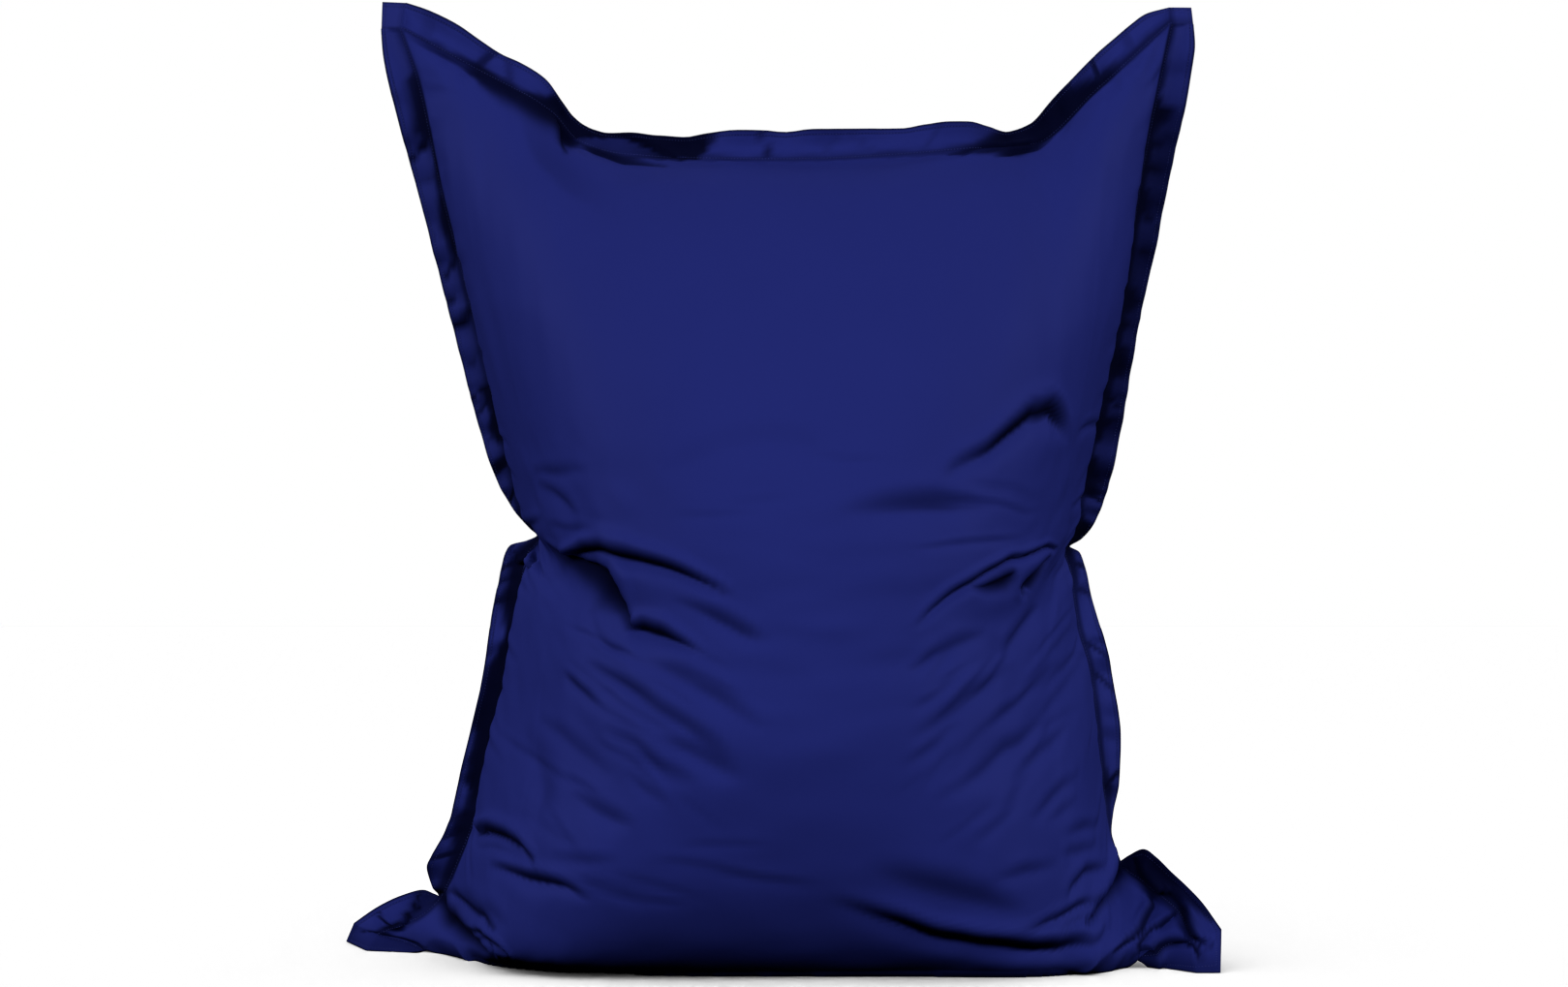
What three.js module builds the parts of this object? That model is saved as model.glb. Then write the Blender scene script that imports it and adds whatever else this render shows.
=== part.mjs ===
// Giant bean bag, standing on its short bottom edge.
// Two rectangular panels of cloth are sewn together all round, 50 mm in from their edges, which leaves a flat
// double border outside the seam. The filling gathers in the lower half as a belly, the side seams are pinched at
// the waist, the two top corners stand up as ears and the two bottom corners lie out on the floor as feet.
// Millimetres, +X to the right, +Y to the back, +Z up. The origin is under the middle of the object, on the floor.
import * as THREE from 'three';

// ---- driving sizes ------------------------------------------------------------------------------------------
const CLOTH_WIDTH = 1400;    // each panel as cut
const CLOTH_HEIGHT = 1800;
const BORDER = 50;           // flat border outside the seam
const BORDER_THICK = 3;      // both layers of the border with their turned-in edge
const PANEL_WIDTH = CLOTH_WIDTH - 2 * BORDER;
const PANEL_HEIGHT = CLOTH_HEIGHT - 2 * BORDER;
const BASE_SNAP = 6;         // what comes this near the floor lies flat on it
const GROUNDED = 6;          // a bottom seam this low has its border under the bag
const CELLS_WIDE = 38;       // facets across a panel, between the side seams
const CELLS_HIGH = 52;       // facets up a panel, between the bottom and the top seam
const CELLS_BORDER = 2;      // facets across the border

// ---- the seam, one row for each bend; v is the share of the panel's height from the bottom seam ----------------
const LEFT_SEAM = [
  { at: 'foot corner', v: 0.000, x: -594, y: 22, z: 18 },
  { at: 'toe', v: 0.035, x: -544, y: 20, z: 38 },
  { at: 'under the ankle', v: 0.073, x: -503, y: 8, z: 72 },
  { at: 'ankle', v: 0.118, x: -472, y: 0, z: 132 },
  { at: 'hem', v: 0.159, x: -450, y: 0, z: 190 },
  { at: 'low side', v: 0.251, x: -420, y: 5, z: 324 },
  { at: 'belly', v: 0.299, x: -402, y: 10, z: 393 },
  { at: 'hip', v: 0.370, x: -388, y: 20, z: 496 },
  { at: 'under the waist', v: 0.424, x: -376, y: 42, z: 573 },
  { at: 'waist', v: 0.465, x: -357, y: 62, z: 604 },
  { at: 'over the waist', v: 0.507, x: -384, y: 56, z: 637 },
  { at: 'rib', v: 0.546, x: -399, y: 62, z: 694 },
  { at: 'chest', v: 0.634, x: -433, y: 78, z: 823 },
  { at: 'arm', v: 0.731, x: -468, y: 88, z: 967 },
  { at: 'shoulder', v: 0.830, x: -506, y: 95, z: 1112 },
  { at: 'neck', v: 0.946, x: -542, y: 100, z: 1280 },
  { at: 'ear', v: 1.000, x: -568, y: 100, z: 1356 },
];
const RIGHT_SEAM = [
  { at: 'foot corner', v: 0.000, x: 572, y: -205, z: 40 },
  { at: 'toe', v: 0.025, x: 556, y: -180, z: 72 },
  { at: 'under the ankle', v: 0.073, x: 518, y: -130, z: 104 },
  { at: 'ankle', v: 0.119, x: 485, y: -80, z: 132 },
  { at: 'hem', v: 0.152, x: 472, y: -50, z: 170 },
  { at: 'low side', v: 0.235, x: 458, y: -20, z: 285 },
  { at: 'belly', v: 0.323, x: 445, y: 0, z: 411 },
  { at: 'hip', v: 0.364, x: 429, y: 10, z: 468 },
  { at: 'under the waist', v: 0.424, x: 419, y: 28, z: 552 },
  { at: 'waist', v: 0.465, x: 412, y: 52, z: 585 },
  { at: 'over the waist', v: 0.510, x: 430, y: 46, z: 630 },
  { at: 'rib', v: 0.544, x: 438, y: 55, z: 681 },
  { at: 'chest', v: 0.628, x: 467, y: 75, z: 806 },
  { at: 'arm', v: 0.740, x: 504, y: 88, z: 976 },
  { at: 'shoulder', v: 0.853, x: 531, y: 98, z: 1148 },
  { at: 'neck', v: 0.960, x: 563, y: 100, z: 1308 },
  { at: 'ear', v: 1.000, x: 575, y: 100, z: 1364 },
];
// u is the place across the panel, -1 at the left seam and 1 at the right one.
const TOP_SEAM = [
  { at: 'left ear', u: -1.00, x: -568, y: 100, z: 1356 },
  { at: 'left ear side', u: -0.81, x: -465, y: 95, z: 1298 },
  { at: 'left ear foot', u: -0.58, x: -342, y: 75, z: 1226 },
  { at: 'left valley', u: -0.49, x: -305, y: 65, z: 1186 },
  { at: 'left crown', u: -0.37, x: -228, y: 60, z: 1163 },
  { at: 'middle', u: 0.00, x: 0, y: 60, z: 1156 },
  { at: 'right crown', u: 0.45, x: 300, y: 60, z: 1174 },
  { at: 'right valley', u: 0.57, x: 372, y: 66, z: 1181 },
  { at: 'right ear foot', u: 0.72, x: 462, y: 85, z: 1259 },
  { at: 'right ear', u: 1.00, x: 575, y: 100, z: 1364 },
];
const BOTTOM_SEAM = [
  { at: 'left foot', u: -1.00, x: -594, y: 22, z: 18 },
  { at: 'left sole', u: -0.93, x: -557, y: 20, z: 11 },
  { at: 'left arch', u: -0.86, x: -520, y: 18, z: 8 },
  { at: 'left edge of the base', u: -0.76, x: -466, y: 20, z: 3 },
  { at: 'left', u: -0.68, x: -422, y: 18, z: 2 },
  { at: 'middle', u: 0.00, x: -8, y: -6, z: 0 },
  { at: 'right edge of the base', u: 0.66, x: 392, y: -84, z: 2 },
  { at: 'right arch', u: 0.78, x: 454, y: -122, z: 4 },
  { at: 'right sole', u: 0.90, x: 513, y: -160, z: 16 },
  { at: 'right foot', u: 1.00, x: 572, y: -205, z: 40 },
];

// ---- the border's outer edge, beside the seam; it is turned to the back as far as its width asks ------------------
// Under the bag the border is pressed flat into the base: "reach" is the share of it that stands out there, on the
// floor.
const BORDER_EDGE = {
  left: [
    { v: 0.000, x: -615, z: 63 }, { v: 0.020, x: -588, z: 73 }, { v: 0.035, x: -572, z: 80 },
    { v: 0.050, x: -555, z: 85 }, { v: 0.073, x: -516, z: 84 }, { v: 0.090, x: -509, z: 107 },
    { v: 0.104, x: -508, z: 129 }, { v: 0.118, x: -506, z: 150 }, { v: 0.140, x: -498, z: 178 },
    { v: 0.159, x: -490, z: 189 }, { v: 0.180, x: -483, z: 219 }, { v: 0.200, x: -477, z: 248 },
    { v: 0.251, x: -459, z: 323 }, { v: 0.299, x: -444, z: 392 }, { v: 0.340, x: -436, z: 449 },
    { v: 0.370, x: -430, z: 494 }, { v: 0.400, x: -422, z: 536 }, { v: 0.424, x: -414, z: 575 },
    { v: 0.440, x: -406, z: 589 }, { v: 0.452, x: -385, z: 595 }, { v: 0.465, x: -368, z: 603 },
    { v: 0.485, x: -379, z: 615 }, { v: 0.507, x: -395, z: 632 }, { v: 0.546, x: -426, z: 683 },
    { v: 0.590, x: -450, z: 749 }, { v: 0.634, x: -468, z: 814 }, { v: 0.680, x: -486, z: 882 },
    { v: 0.731, x: -506, z: 958 }, { v: 0.780, x: -525, z: 1030 }, { v: 0.830, x: -544, z: 1105 },
    { v: 0.880, x: -564, z: 1177 }, { v: 0.920, x: -579, z: 1235 }, { v: 0.946, x: -589, z: 1273 },
    { v: 0.965, x: -596, z: 1302 }, { v: 0.980, x: -600, z: 1326 }, { v: 1.000, x: -603, z: 1361 },
  ],
  right: [
    { v: 0.000, x: 612, z: 69 }, { v: 0.020, x: 599, z: 97 }, { v: 0.035, x: 587, z: 112 },
    { v: 0.050, x: 574, z: 123 }, { v: 0.073, x: 556, z: 136 }, { v: 0.090, x: 539, z: 140 },
    { v: 0.104, x: 519, z: 137 }, { v: 0.118, x: 501, z: 140 }, { v: 0.140, x: 488, z: 160 },
    { v: 0.159, x: 477, z: 174 }, { v: 0.180, x: 481, z: 201 }, { v: 0.200, x: 488, z: 233 },
    { v: 0.251, x: 493, z: 308 }, { v: 0.299, x: 485, z: 378 }, { v: 0.340, x: 475, z: 436 },
    { v: 0.370, x: 463, z: 478 }, { v: 0.400, x: 452, z: 525 }, { v: 0.424, x: 445, z: 559 },
    { v: 0.445, x: 438, z: 579 }, { v: 0.465, x: 425, z: 587 }, { v: 0.485, x: 443, z: 599 },
    { v: 0.507, x: 459, z: 621 }, { v: 0.546, x: 481, z: 677 }, { v: 0.590, x: 497, z: 742 },
    { v: 0.634, x: 510, z: 808 }, { v: 0.680, x: 523, z: 879 }, { v: 0.731, x: 538, z: 956 },
    { v: 0.780, x: 555, z: 1030 }, { v: 0.830, x: 570, z: 1105 }, { v: 0.880, x: 585, z: 1180 },
    { v: 0.920, x: 599, z: 1243 }, { v: 0.946, x: 607, z: 1284 }, { v: 0.965, x: 611, z: 1314 },
    { v: 0.980, x: 614, z: 1336 }, { v: 1.000, x: 613, z: 1368 },
  ],
  top: [
    { u: -1.000, x: -565, z: 1398 }, { u: -0.960, x: -540, z: 1386 }, { u: -0.920, x: -514, z: 1372 },
    { u: -0.880, x: -490, z: 1360 }, { u: -0.810, x: -450, z: 1336 }, { u: -0.760, x: -421, z: 1318 },
    { u: -0.720, x: -399, z: 1305 }, { u: -0.680, x: -377, z: 1291 }, { u: -0.640, x: -355, z: 1276 },
    { u: -0.580, x: -332, z: 1250 }, { u: -0.530, x: -314, z: 1226 }, { u: -0.490, x: -297, z: 1214 },
    { u: -0.430, x: -263, z: 1202 }, { u: -0.370, x: -224, z: 1199 }, { u: -0.200, x: -122, z: 1200 },
    { u: 0.000, x: 1, z: 1204 }, { u: 0.200, x: 133, z: 1206 }, { u: 0.450, x: 299, z: 1208 },
    { u: 0.520, x: 340, z: 1209 }, { u: 0.570, x: 367, z: 1216 }, { u: 0.640, x: 400, z: 1253 },
    { u: 0.720, x: 444, z: 1299 }, { u: 0.780, x: 470, z: 1326 }, { u: 0.840, x: 495, z: 1347 },
    { u: 0.900, x: 519, z: 1368 }, { u: 0.950, x: 543, z: 1384 }, { u: 1.000, x: 576, z: 1395 },
  ],
  bottom: [
    { u: -1.00, x: -607, y: -24, z: 2.5, reach: 1.00 }, { u: -0.96, x: -585, y: -29, z: 2.5, reach: 1.00 },
    { u: -0.92, x: -560, y: -35, z: 2.5, reach: 1.00 }, { u: -0.89, x: -538, y: -40, z: 2.5, reach: 0.80 },
    { u: -0.86, x: -519, y: -56, z: 2.5, reach: 0.00 }, { u: 0.84, x: 493, y: -138, z: 2.5, reach: 0.00 },
    { u: 0.86, x: 502, y: -148, z: 2.5, reach: 0.30 }, { u: 0.90, x: 516, y: -168, z: 2.5, reach: 0.90 },
    { u: 0.95, x: 540, y: -217, z: 2.5, reach: 1.00 }, { u: 1.00, x: 571, y: -256, z: 2.5, reach: 1.00 },
  ],
};
const CORNER_TIPS = {
  left: [{ x: -648, y: 73, z: 2.5 }, { x: -604, y: 154, z: 1406 }],      // foot, ear
  right: [{ x: 605, y: -256, z: 2.5 }, { x: 613, y: 152, z: 1397 }],
};

// ---- the middle line of each panel; "full" is how square its level section is, 2 being round --------------------
const FRONT_LINE = [
  { at: 'bottom seam', v: 0.000, y: -6, z: 0, full: 2.2 },
  { at: 'edge of the base', v: 0.147, y: -255, z: 0, full: 7.0 },
  { at: 'under the belly', v: 0.200, y: -325, z: 42, full: 4.5 },
  { at: 'low belly', v: 0.280, y: -375, z: 165, full: 3.0 },
  { at: 'belly', v: 0.371, y: -385, z: 310, full: 2.3 },
  { at: 'over the belly', v: 0.450, y: -360, z: 450, full: 2.2 },
  { at: 'waist', v: 0.533, y: -330, z: 600, full: 2.2 },
  { at: 'chest', v: 0.657, y: -262, z: 800, full: 2.3 },
  { at: 'shoulder', v: 0.790, y: -155, z: 1000, full: 2.4 },
  { at: 'neck', v: 0.890, y: -40, z: 1115, full: 2.6 },
  { at: 'top seam', v: 1.000, y: 60, z: 1157, full: 3.0 },
];
const BACK_LINE = [
  { at: 'bottom seam', v: 0.000, y: -6, z: 0, full: 2.2 },
  { at: 'edge of the base', v: 0.147, y: 250, z: 0, full: 5.0 },
  { at: 'under the seat', v: 0.200, y: 318, z: 42, full: 3.6 },
  { at: 'low back', v: 0.280, y: 360, z: 165, full: 2.5 },
  { at: 'seat', v: 0.371, y: 370, z: 310, full: 2.3 },
  { at: 'over the seat', v: 0.450, y: 350, z: 450, full: 2.2 },
  { at: 'waist', v: 0.533, y: 322, z: 600, full: 2.2 },
  { at: 'back', v: 0.657, y: 272, z: 800, full: 2.3 },
  { at: 'shoulder', v: 0.790, y: 214, z: 1000, full: 2.4 },
  { at: 'neck', v: 0.890, y: 145, z: 1115, full: 2.6 },
  { at: 'top seam', v: 1.000, y: 60, z: 1157, full: 3.0 },
];

// ---- the main folds, each a soft trough from one end to the other with a ridge beside it ------------------------
// u, v: the ends on the panel; deep: depth in mm; wide: half width in mm; ridge: the ridge's height as a share of
// the depth, on the left of the way from the first end to the second where it is positive.
const FRONT_FOLDS = [
  { at: 'left waist, upper arc', u0: -0.86, v0: 0.490, u1: -0.45, v1: 0.520, deep: 16, wide: 30, ridge: 0.5 },
  { at: 'left waist, end of the arc', u0: -0.45, v0: 0.520, u1: -0.18, v1: 0.490, deep: 10, wide: 26, ridge: 0.5 },
  { at: 'left waist, wedge', u0: -0.90, v0: 0.460, u1: -0.48, v1: 0.474, deep: 20, wide: 28, ridge: -0.4 },
  { at: 'left waist, under the wedge', u0: -0.46, v0: 0.452, u1: -0.27, v1: 0.448, deep: 9, wide: 24, ridge: -0.4 },
  { at: 'left slope, short', u0: -0.31, v0: 0.485, u1: -0.10, v1: 0.455, deep: 7, wide: 24, ridge: 0.3 },
  { at: 'left slope, long', u0: -0.60, v0: 0.405, u1: -0.20, v1: 0.376, deep: 8, wide: 30, ridge: 0.3 },
  { at: 'right waist, long', u0: 0.92, v0: 0.500, u1: 0.42, v1: 0.503, deep: 16, wide: 30, ridge: -0.5 },
  { at: 'right waist, end', u0: 0.42, v0: 0.503, u1: 0.26, v1: 0.470, deep: 9, wide: 26, ridge: -0.4 },
  { at: 'right chest, hook', u0: 0.33, v0: 0.597, u1: 0.56, v1: 0.655, deep: 9, wide: 26, ridge: 0.5 },
  { at: 'right chest, level', u0: 0.10, v0: 0.566, u1: 0.46, v1: 0.568, deep: 5, wide: 26, ridge: 0.3 },
  { at: 'right slope', u0: 0.62, v0: 0.430, u1: 0.27, v1: 0.380, deep: 8, wide: 30, ridge: 0.3 },
  { at: 'left foot, upper', u0: -0.94, v0: 0.165, u1: -0.55, v1: 0.222, deep: 12, wide: 28, ridge: 0.4 },
  { at: 'right foot, long', u0: 0.22, v0: 0.240, u1: 0.62, v1: 0.170, deep: 9, wide: 30, ridge: 0.5 },
  { at: 'right foot, notch', u0: 0.94, v0: 0.125, u1: 0.70, v1: 0.150, deep: 16, wide: 30, ridge: 0.3 },
];
const BACK_FOLDS = [
  { at: 'left waist', u0: -0.90, v0: 0.470, u1: -0.34, v1: 0.500, deep: 14, wide: 30, ridge: 0.4 },
  { at: 'right waist', u0: 0.92, v0: 0.472, u1: 0.40, v1: 0.490, deep: 14, wide: 30, ridge: -0.4 },
  { at: 'left slope', u0: -0.70, v0: 0.400, u1: -0.30, v1: 0.360, deep: 8, wide: 30, ridge: 0.3 },
  { at: 'right slope', u0: 0.66, v0: 0.410, u1: 0.34, v1: 0.350, deep: 8, wide: 30, ridge: -0.3 },
  { at: 'left foot', u0: -0.90, v0: 0.150, u1: -0.50, v1: 0.210, deep: 10, wide: 30, ridge: 0.4 },
  { at: 'right foot', u0: 0.90, v0: 0.150, u1: 0.55, v1: 0.205, deep: 10, wide: 30, ridge: -0.4 },
];
// The border's waves: how many along a side of the panel, how far its edge swings, and where the first one starts.
const BORDER_WAVES = [
  { at: 'long', count: 7.3, swing: 5.0, start: 0.2 },
  { at: 'short', count: 12.6, swing: 3.5, start: 0.6 },
];

// ---- curves through the tables --------------------------------------------------------------------------------
// A smooth curve through the rows that never swings past them: monotone cubic pieces.
function curve(rows, key, columns) {
  const t = rows.map((r) => r[key]);
  const slopes = columns.map((c) => {
    const y = rows.map((r) => r[c]);
    const d = t.slice(1).map((_, i) => (y[i + 1] - y[i]) / (t[i + 1] - t[i]));
    return y.map((_, i) => {
      if (i === 0) return d[0];
      if (i === y.length - 1) return d[i - 1];
      if (d[i - 1] * d[i] <= 0) return 0;
      const a = t[i] - t[i - 1], b = t[i + 1] - t[i];
      return 3 * (a + b) / ((2 * b + a) / d[i - 1] + (b + 2 * a) / d[i]);
    });
  });
  return (at) => {
    let i = 0;
    while (i < t.length - 2 && at > t[i + 1]) i++;
    const h = t[i + 1] - t[i], s = (at - t[i]) / h;
    return columns.map((c, k) =>
      (2 * s ** 3 - 3 * s ** 2 + 1) * rows[i][c] + (s ** 3 - 2 * s ** 2 + s) * h * slopes[k][i]
      + (3 * s ** 2 - 2 * s ** 3) * rows[i + 1][c] + (s ** 3 - s ** 2) * h * slopes[k][i + 1]);
  };
}
const place = ['x', 'y', 'z'];
const left = curve(LEFT_SEAM, 'v', place), right = curve(RIGHT_SEAM, 'v', place);
const top = curve(TOP_SEAM, 'u', place), bottom = curve(BOTTOM_SEAM, 'u', place);
const edgeOf = {
  left: curve(BORDER_EDGE.left, 'v', ['x', 'z']), right: curve(BORDER_EDGE.right, 'v', ['x', 'z']),
  top: curve(BORDER_EDGE.top, 'u', ['x', 'z']), bottom: curve(BORDER_EDGE.bottom, 'u', ['x', 'y', 'z', 'reach']),
};
const vec = ([x, y, z]) => new THREE.Vector3(x, y, z);
const mix = (a, b, t) => a + (b - a) * t;
const clamp = (x, a, b) => Math.min(b, Math.max(a, x));
const ease = (x) => clamp(x, 0, 1) ** 2 * (3 - 2 * clamp(x, 0, 1));

// The surface that the four seams span, before the filling pushes it out.
function midway(u, v) {
  const a = (u + 1) / 2, l = left(v), r = right(v), t = top(u), b = bottom(u);
  const l0 = left(0), l1 = left(1), r0 = right(0), r1 = right(1);
  return [0, 1, 2].map((k) =>
    mix(l[k], r[k], a) + mix(b[k], t[k], v) - mix(mix(l0[k], r0[k], a), mix(l1[k], r1[k], a), v));
}
// How far the filling presses a panel down to the floor beside the base, next to the feet.
const lowFill = (u, v) => ease((1 - Math.abs(u)) / 0.22) * ease((Math.abs(u) - 0.3) / 0.25) * ease((0.21 - v) / 0.14) * ease(v / 0.03);
function softFolds(point, normal, folds, u, v) {
  const px = u * PANEL_WIDTH / 2, py = v * PANEL_HEIGHT;
  let push = 0;
  for (const f of folds) {
    const ax = f.u0 * PANEL_WIDTH / 2, ay = f.v0 * PANEL_HEIGHT;
    const bx = f.u1 * PANEL_WIDTH / 2, by = f.v1 * PANEL_HEIGHT;
    const dx = bx - ax, dy = by - ay, long = Math.hypot(dx, dy);
    const s = ((px - ax) * dx + (py - ay) * dy) / long ** 2;
    const over = Math.max(0, -s, s - 1) * long;
    const side = ((px - ax) * -dy + (py - ay) * dx) / long;
    const along = Math.exp(-((over / f.wide) ** 2)) * (1 - 0.5 * clamp(s, 0, 1));
    push -= f.deep * along * Math.exp(-((side / f.wide) ** 2));
    const ridgeAt = side - Math.sign(f.ridge) * f.wide * 1.7;
    push += f.deep * Math.abs(f.ridge) * along * Math.exp(-((ridgeAt / f.wide) ** 2));
  }
  // The folds fade out at the seams and on the floor.
  const fade = clamp((1 - Math.abs(u)) / 0.08, 0, 1) * clamp((1 - v) / 0.05, 0, 1) * clamp((point.z - 25) / 60, 0, 1);
  return point.addScaledVector(normal, push * fade);
}
function panel(line, folds, outward) {
  const middle = curve(line, 'v', ['y', 'z', 'full']);
  const bare = (u, v) => {
    const m = midway(u, v), centre = midway(0, v), [y, z, full] = middle(v);
    const dy = y - centre[1], dz = z - centre[2], swell = 1 - Math.abs(u) ** full;
    const l = left(v)[0], r = right(v)[0], deep = clamp(Math.abs(dy) / 300, 0, 1) * 0.7;
    const round = mix(l, r, (1 + Math.sin(Math.PI * u / 2)) / 2);
    return vec([mix(m[0], round, deep), m[1] + dy * swell, (m[2] + dz * swell) * (1 - lowFill(u, v))]);
  };
  return (u, v) => {
    const p = bare(u, v), e = 0.004;
    const du = bare(Math.min(1, u + e), v).sub(bare(Math.max(-1, u - e), v));
    const dv = bare(u, Math.min(1, v + e)).sub(bare(u, Math.max(0, v - e)));
    const n = du.cross(dv).normalize();
    if (n.y * outward < 0 && Math.abs(n.y) > 0.2) n.negate();
    return softFolds(p, n, folds, u, v);
  };
}
const front = panel(FRONT_LINE, FRONT_FOLDS, -1), back = panel(BACK_LINE, BACK_FOLDS, 1);

// ---- facets: rows and columns stand closer at the feet, the waist, the sides and the ears -----------------------
function stations(cells, low, high, density) {
  const steps = 2000, sum = [0];
  for (let i = 0; i < steps; i++) sum.push(sum[i] + density(low + (high - low) * (i + 0.5) / steps));
  const out = [];
  for (let k = 0, i = 0; k <= cells; k++) {
    const want = sum[steps] * k / cells;
    while (i < steps - 1 && sum[i + 1] < want) i++;
    out.push(low + (high - low) * clamp((i + (want - sum[i]) / (sum[i + 1] - sum[i])) / steps, 0, 1));
  }
  return out;
}
const bump = (x, at, wide) => Math.exp(-(((x - at) / wide) ** 2));
const US = stations(CELLS_WIDE, -1, 1, (u) => 1 + 0.9 * bump(u, -1, 0.14) + 0.9 * bump(u, 1, 0.14));
const VS = stations(CELLS_HIGH, 0, 1, (v) => 1 + 0.9 * bump(v, 0.475, 0.07) + 0.8 * bump(v, 0.09, 0.08) + 0.5 * bump(v, 1, 0.05));

// ---- the border: it stands out from the seam, turns back and waves a little --------------------------------------
const share = (v) => BORDER_WAVES.reduce((sum, w) => sum + w.swing * Math.sin(2 * Math.PI * (w.count * v + w.start)), 0);
// The seam's way along a side, evened out over the bends.
function alongAt(side, at) {
  const seam = { left, right, top, bottom }[side], low = side === 'left' || side === 'right' ? 0 : -1;
  const e = 0.05, sum = new THREE.Vector3();
  for (const w of [-1, -0.5, 0, 0.5, 1]) {
    const a = clamp(at + (w - 1) * e, low, 1), b = clamp(at + (w + 1) * e, low, 1);
    if (b > a) sum.add(vec(seam(b)).sub(vec(seam(a))).normalize());
  }
  return sum.normalize();
}
// out: from the seam to the outer edge; thin: unit way through the border, to the back
function frameAt(side, at, wave) {
  const seam = vec({ left, right, top, bottom }[side](at)), e = edgeOf[side](at);
  let out, reach = 1;
  if (side === 'bottom') {
    reach = seam.z < GROUNDED ? 0 : clamp(e[3], 0, 1);
    out = new THREE.Vector3(e[0], e[1], e[2]).sub(seam);
  } else {
    const dx = e[0] - seam.x, dz = e[1] - seam.z;
    out = new THREE.Vector3(dx, Math.sqrt(Math.max(BORDER ** 2 - dx ** 2 - dz ** 2, 36)), dz);
  }
  const thin = alongAt(side, at).cross(out).normalize();
  if (side === 'left' || side === 'top') thin.negate();
  if (side === 'bottom') thin.multiplyScalar(clamp(reach * 2, 0, 1)).add(new THREE.Vector3(0, 1 - clamp(reach * 2, 0, 1), 0)).normalize();
  out.y += wave;
  return { out: out.multiplyScalar(reach), thin };
}

// ---- the closed skin: the front sheet and the back sheet, joined round the border's outer edge -------------------
const wide = US.length + 2 * CELLS_BORDER, high = VS.length + 2 * CELLS_BORDER;
const frontSheet = [], backSheet = [];
for (let i = 0; i < high; i++) {
  frontSheet.push([]);
  backSheet.push([]);
  for (let j = 0; j < wide; j++) {
    const iv = clamp(i - CELLS_BORDER, 0, VS.length - 1), ju = clamp(j - CELLS_BORDER, 0, US.length - 1);
    const v = VS[iv], u = US[ju];
    const below = Math.max(0, CELLS_BORDER - i) / CELLS_BORDER, above = Math.max(0, i - CELLS_BORDER - VS.length + 1) / CELLS_BORDER;
    const toLeft = Math.max(0, CELLS_BORDER - j) / CELLS_BORDER, toRight = Math.max(0, j - CELLS_BORDER - US.length + 1) / CELLS_BORDER;
    const f = front(u, v), b = back(u, v);
    const edge = iv === 0 || iv === VS.length - 1 || ju === 0 || ju === US.length - 1;
    if (!edge) {
      frontSheet[i].push(f);
      backSheet[i].push(b);
      continue;
    }
    const seam = iv === 0 ? vec(bottom(u)) : iv === VS.length - 1 ? vec(top(u)) : ju === 0 ? vec(left(v)) : vec(right(v));
    const across = Math.max(toLeft, toRight), along = Math.max(below, above), side = ju === 0 ? 'left' : 'right';
    const p = seam.clone(), thin = new THREE.Vector3(), lift = clamp((seam.z - 60) / 120, 0, 1);
    let sideways = null, endways = null;
    if (ju === 0 || ju === US.length - 1) {
      sideways = frameAt(side, v, share(ju === 0 ? v : v + 0.37) * lift);
      p.addScaledVector(sideways.out, across);
      thin.add(sideways.thin);
    }
    if (iv === 0 || iv === VS.length - 1) {
      endways = iv === 0 ? frameAt('bottom', u, 0) : frameAt('top', u, share(u * 0.4 + 0.11));
      p.addScaledVector(endways.out, along);
      thin.add(endways.thin);
    }
    // Past a corner of the seam the border runs out to its tip.
    if (sideways && endways) {
      const t = CORNER_TIPS[side][iv === 0 ? 0 : 1];
      p.addScaledVector(new THREE.Vector3(t.x, t.y, t.z).sub(seam).sub(sideways.out).sub(endways.out), across * along);
    }
    const grounded = iv === 0 && seam.z < GROUNDED;
    if (grounded) p.z = 0;
    thin.normalize();
    if (grounded) thin.copy(new THREE.Vector3(0, 1, 0));
    frontSheet[i].push(p.clone().addScaledVector(thin, -BORDER_THICK / 2));
    backSheet[i].push(p.clone().addScaledVector(thin, BORDER_THICK / 2));
  }
}

// The base is flat on the floor: what part of the panels comes near it lies on it.
const inside = (i, j) => i >= CELLS_BORDER && i < high - CELLS_BORDER && j >= CELLS_BORDER && j < wide - CELLS_BORDER;
for (const sheet of [frontSheet, backSheet]) {
  sheet.forEach((row, i) => row.forEach((p, j) => {
    if (inside(i, j) && p.z < BASE_SNAP) p.z = 0;
  }));
}

const skin = [];
const number = new Map();
function id(p) {
  const key = [p.x, p.y, p.z].map((c) => c.toFixed(3)).join();
  if (!number.has(key)) {
    number.set(key, skin.length / 3);
    skin.push(p.x, p.y, p.z);
  }
  return number.get(key);
}
const triangles = [];
function facet(a, b, c, d) {
  for (const [p, q, r] of [[a, b, c], [a, c, d]]) {
    const t = [id(p), id(q), id(r)];
    if (t[0] !== t[1] && t[1] !== t[2] && t[2] !== t[0]) triangles.push(...t);
  }
}
for (let i = 0; i < high - 1; i++) {
  for (let j = 0; j < wide - 1; j++) {
    const f = frontSheet, b = backSheet;
    facet(f[i][j], f[i][j + 1], f[i + 1][j + 1], f[i + 1][j]);
    facet(b[i][j], b[i + 1][j], b[i + 1][j + 1], b[i][j + 1]);
  }
}
const rim = [];
for (let j = 0; j < wide - 1; j++) rim.push([0, j]);
for (let i = 0; i < high - 1; i++) rim.push([i, wide - 1]);
for (let j = wide - 1; j > 0; j--) rim.push([high - 1, j]);
for (let i = high - 1; i > 0; i--) rim.push([i, 0]);
for (let k = 0; k < rim.length; k++) {
  const [a, b] = rim[k], [c, d] = rim[(k + 1) % rim.length];
  facet(frontSheet[a][b], backSheet[a][b], backSheet[c][d], frontSheet[c][d]);
}

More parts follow.
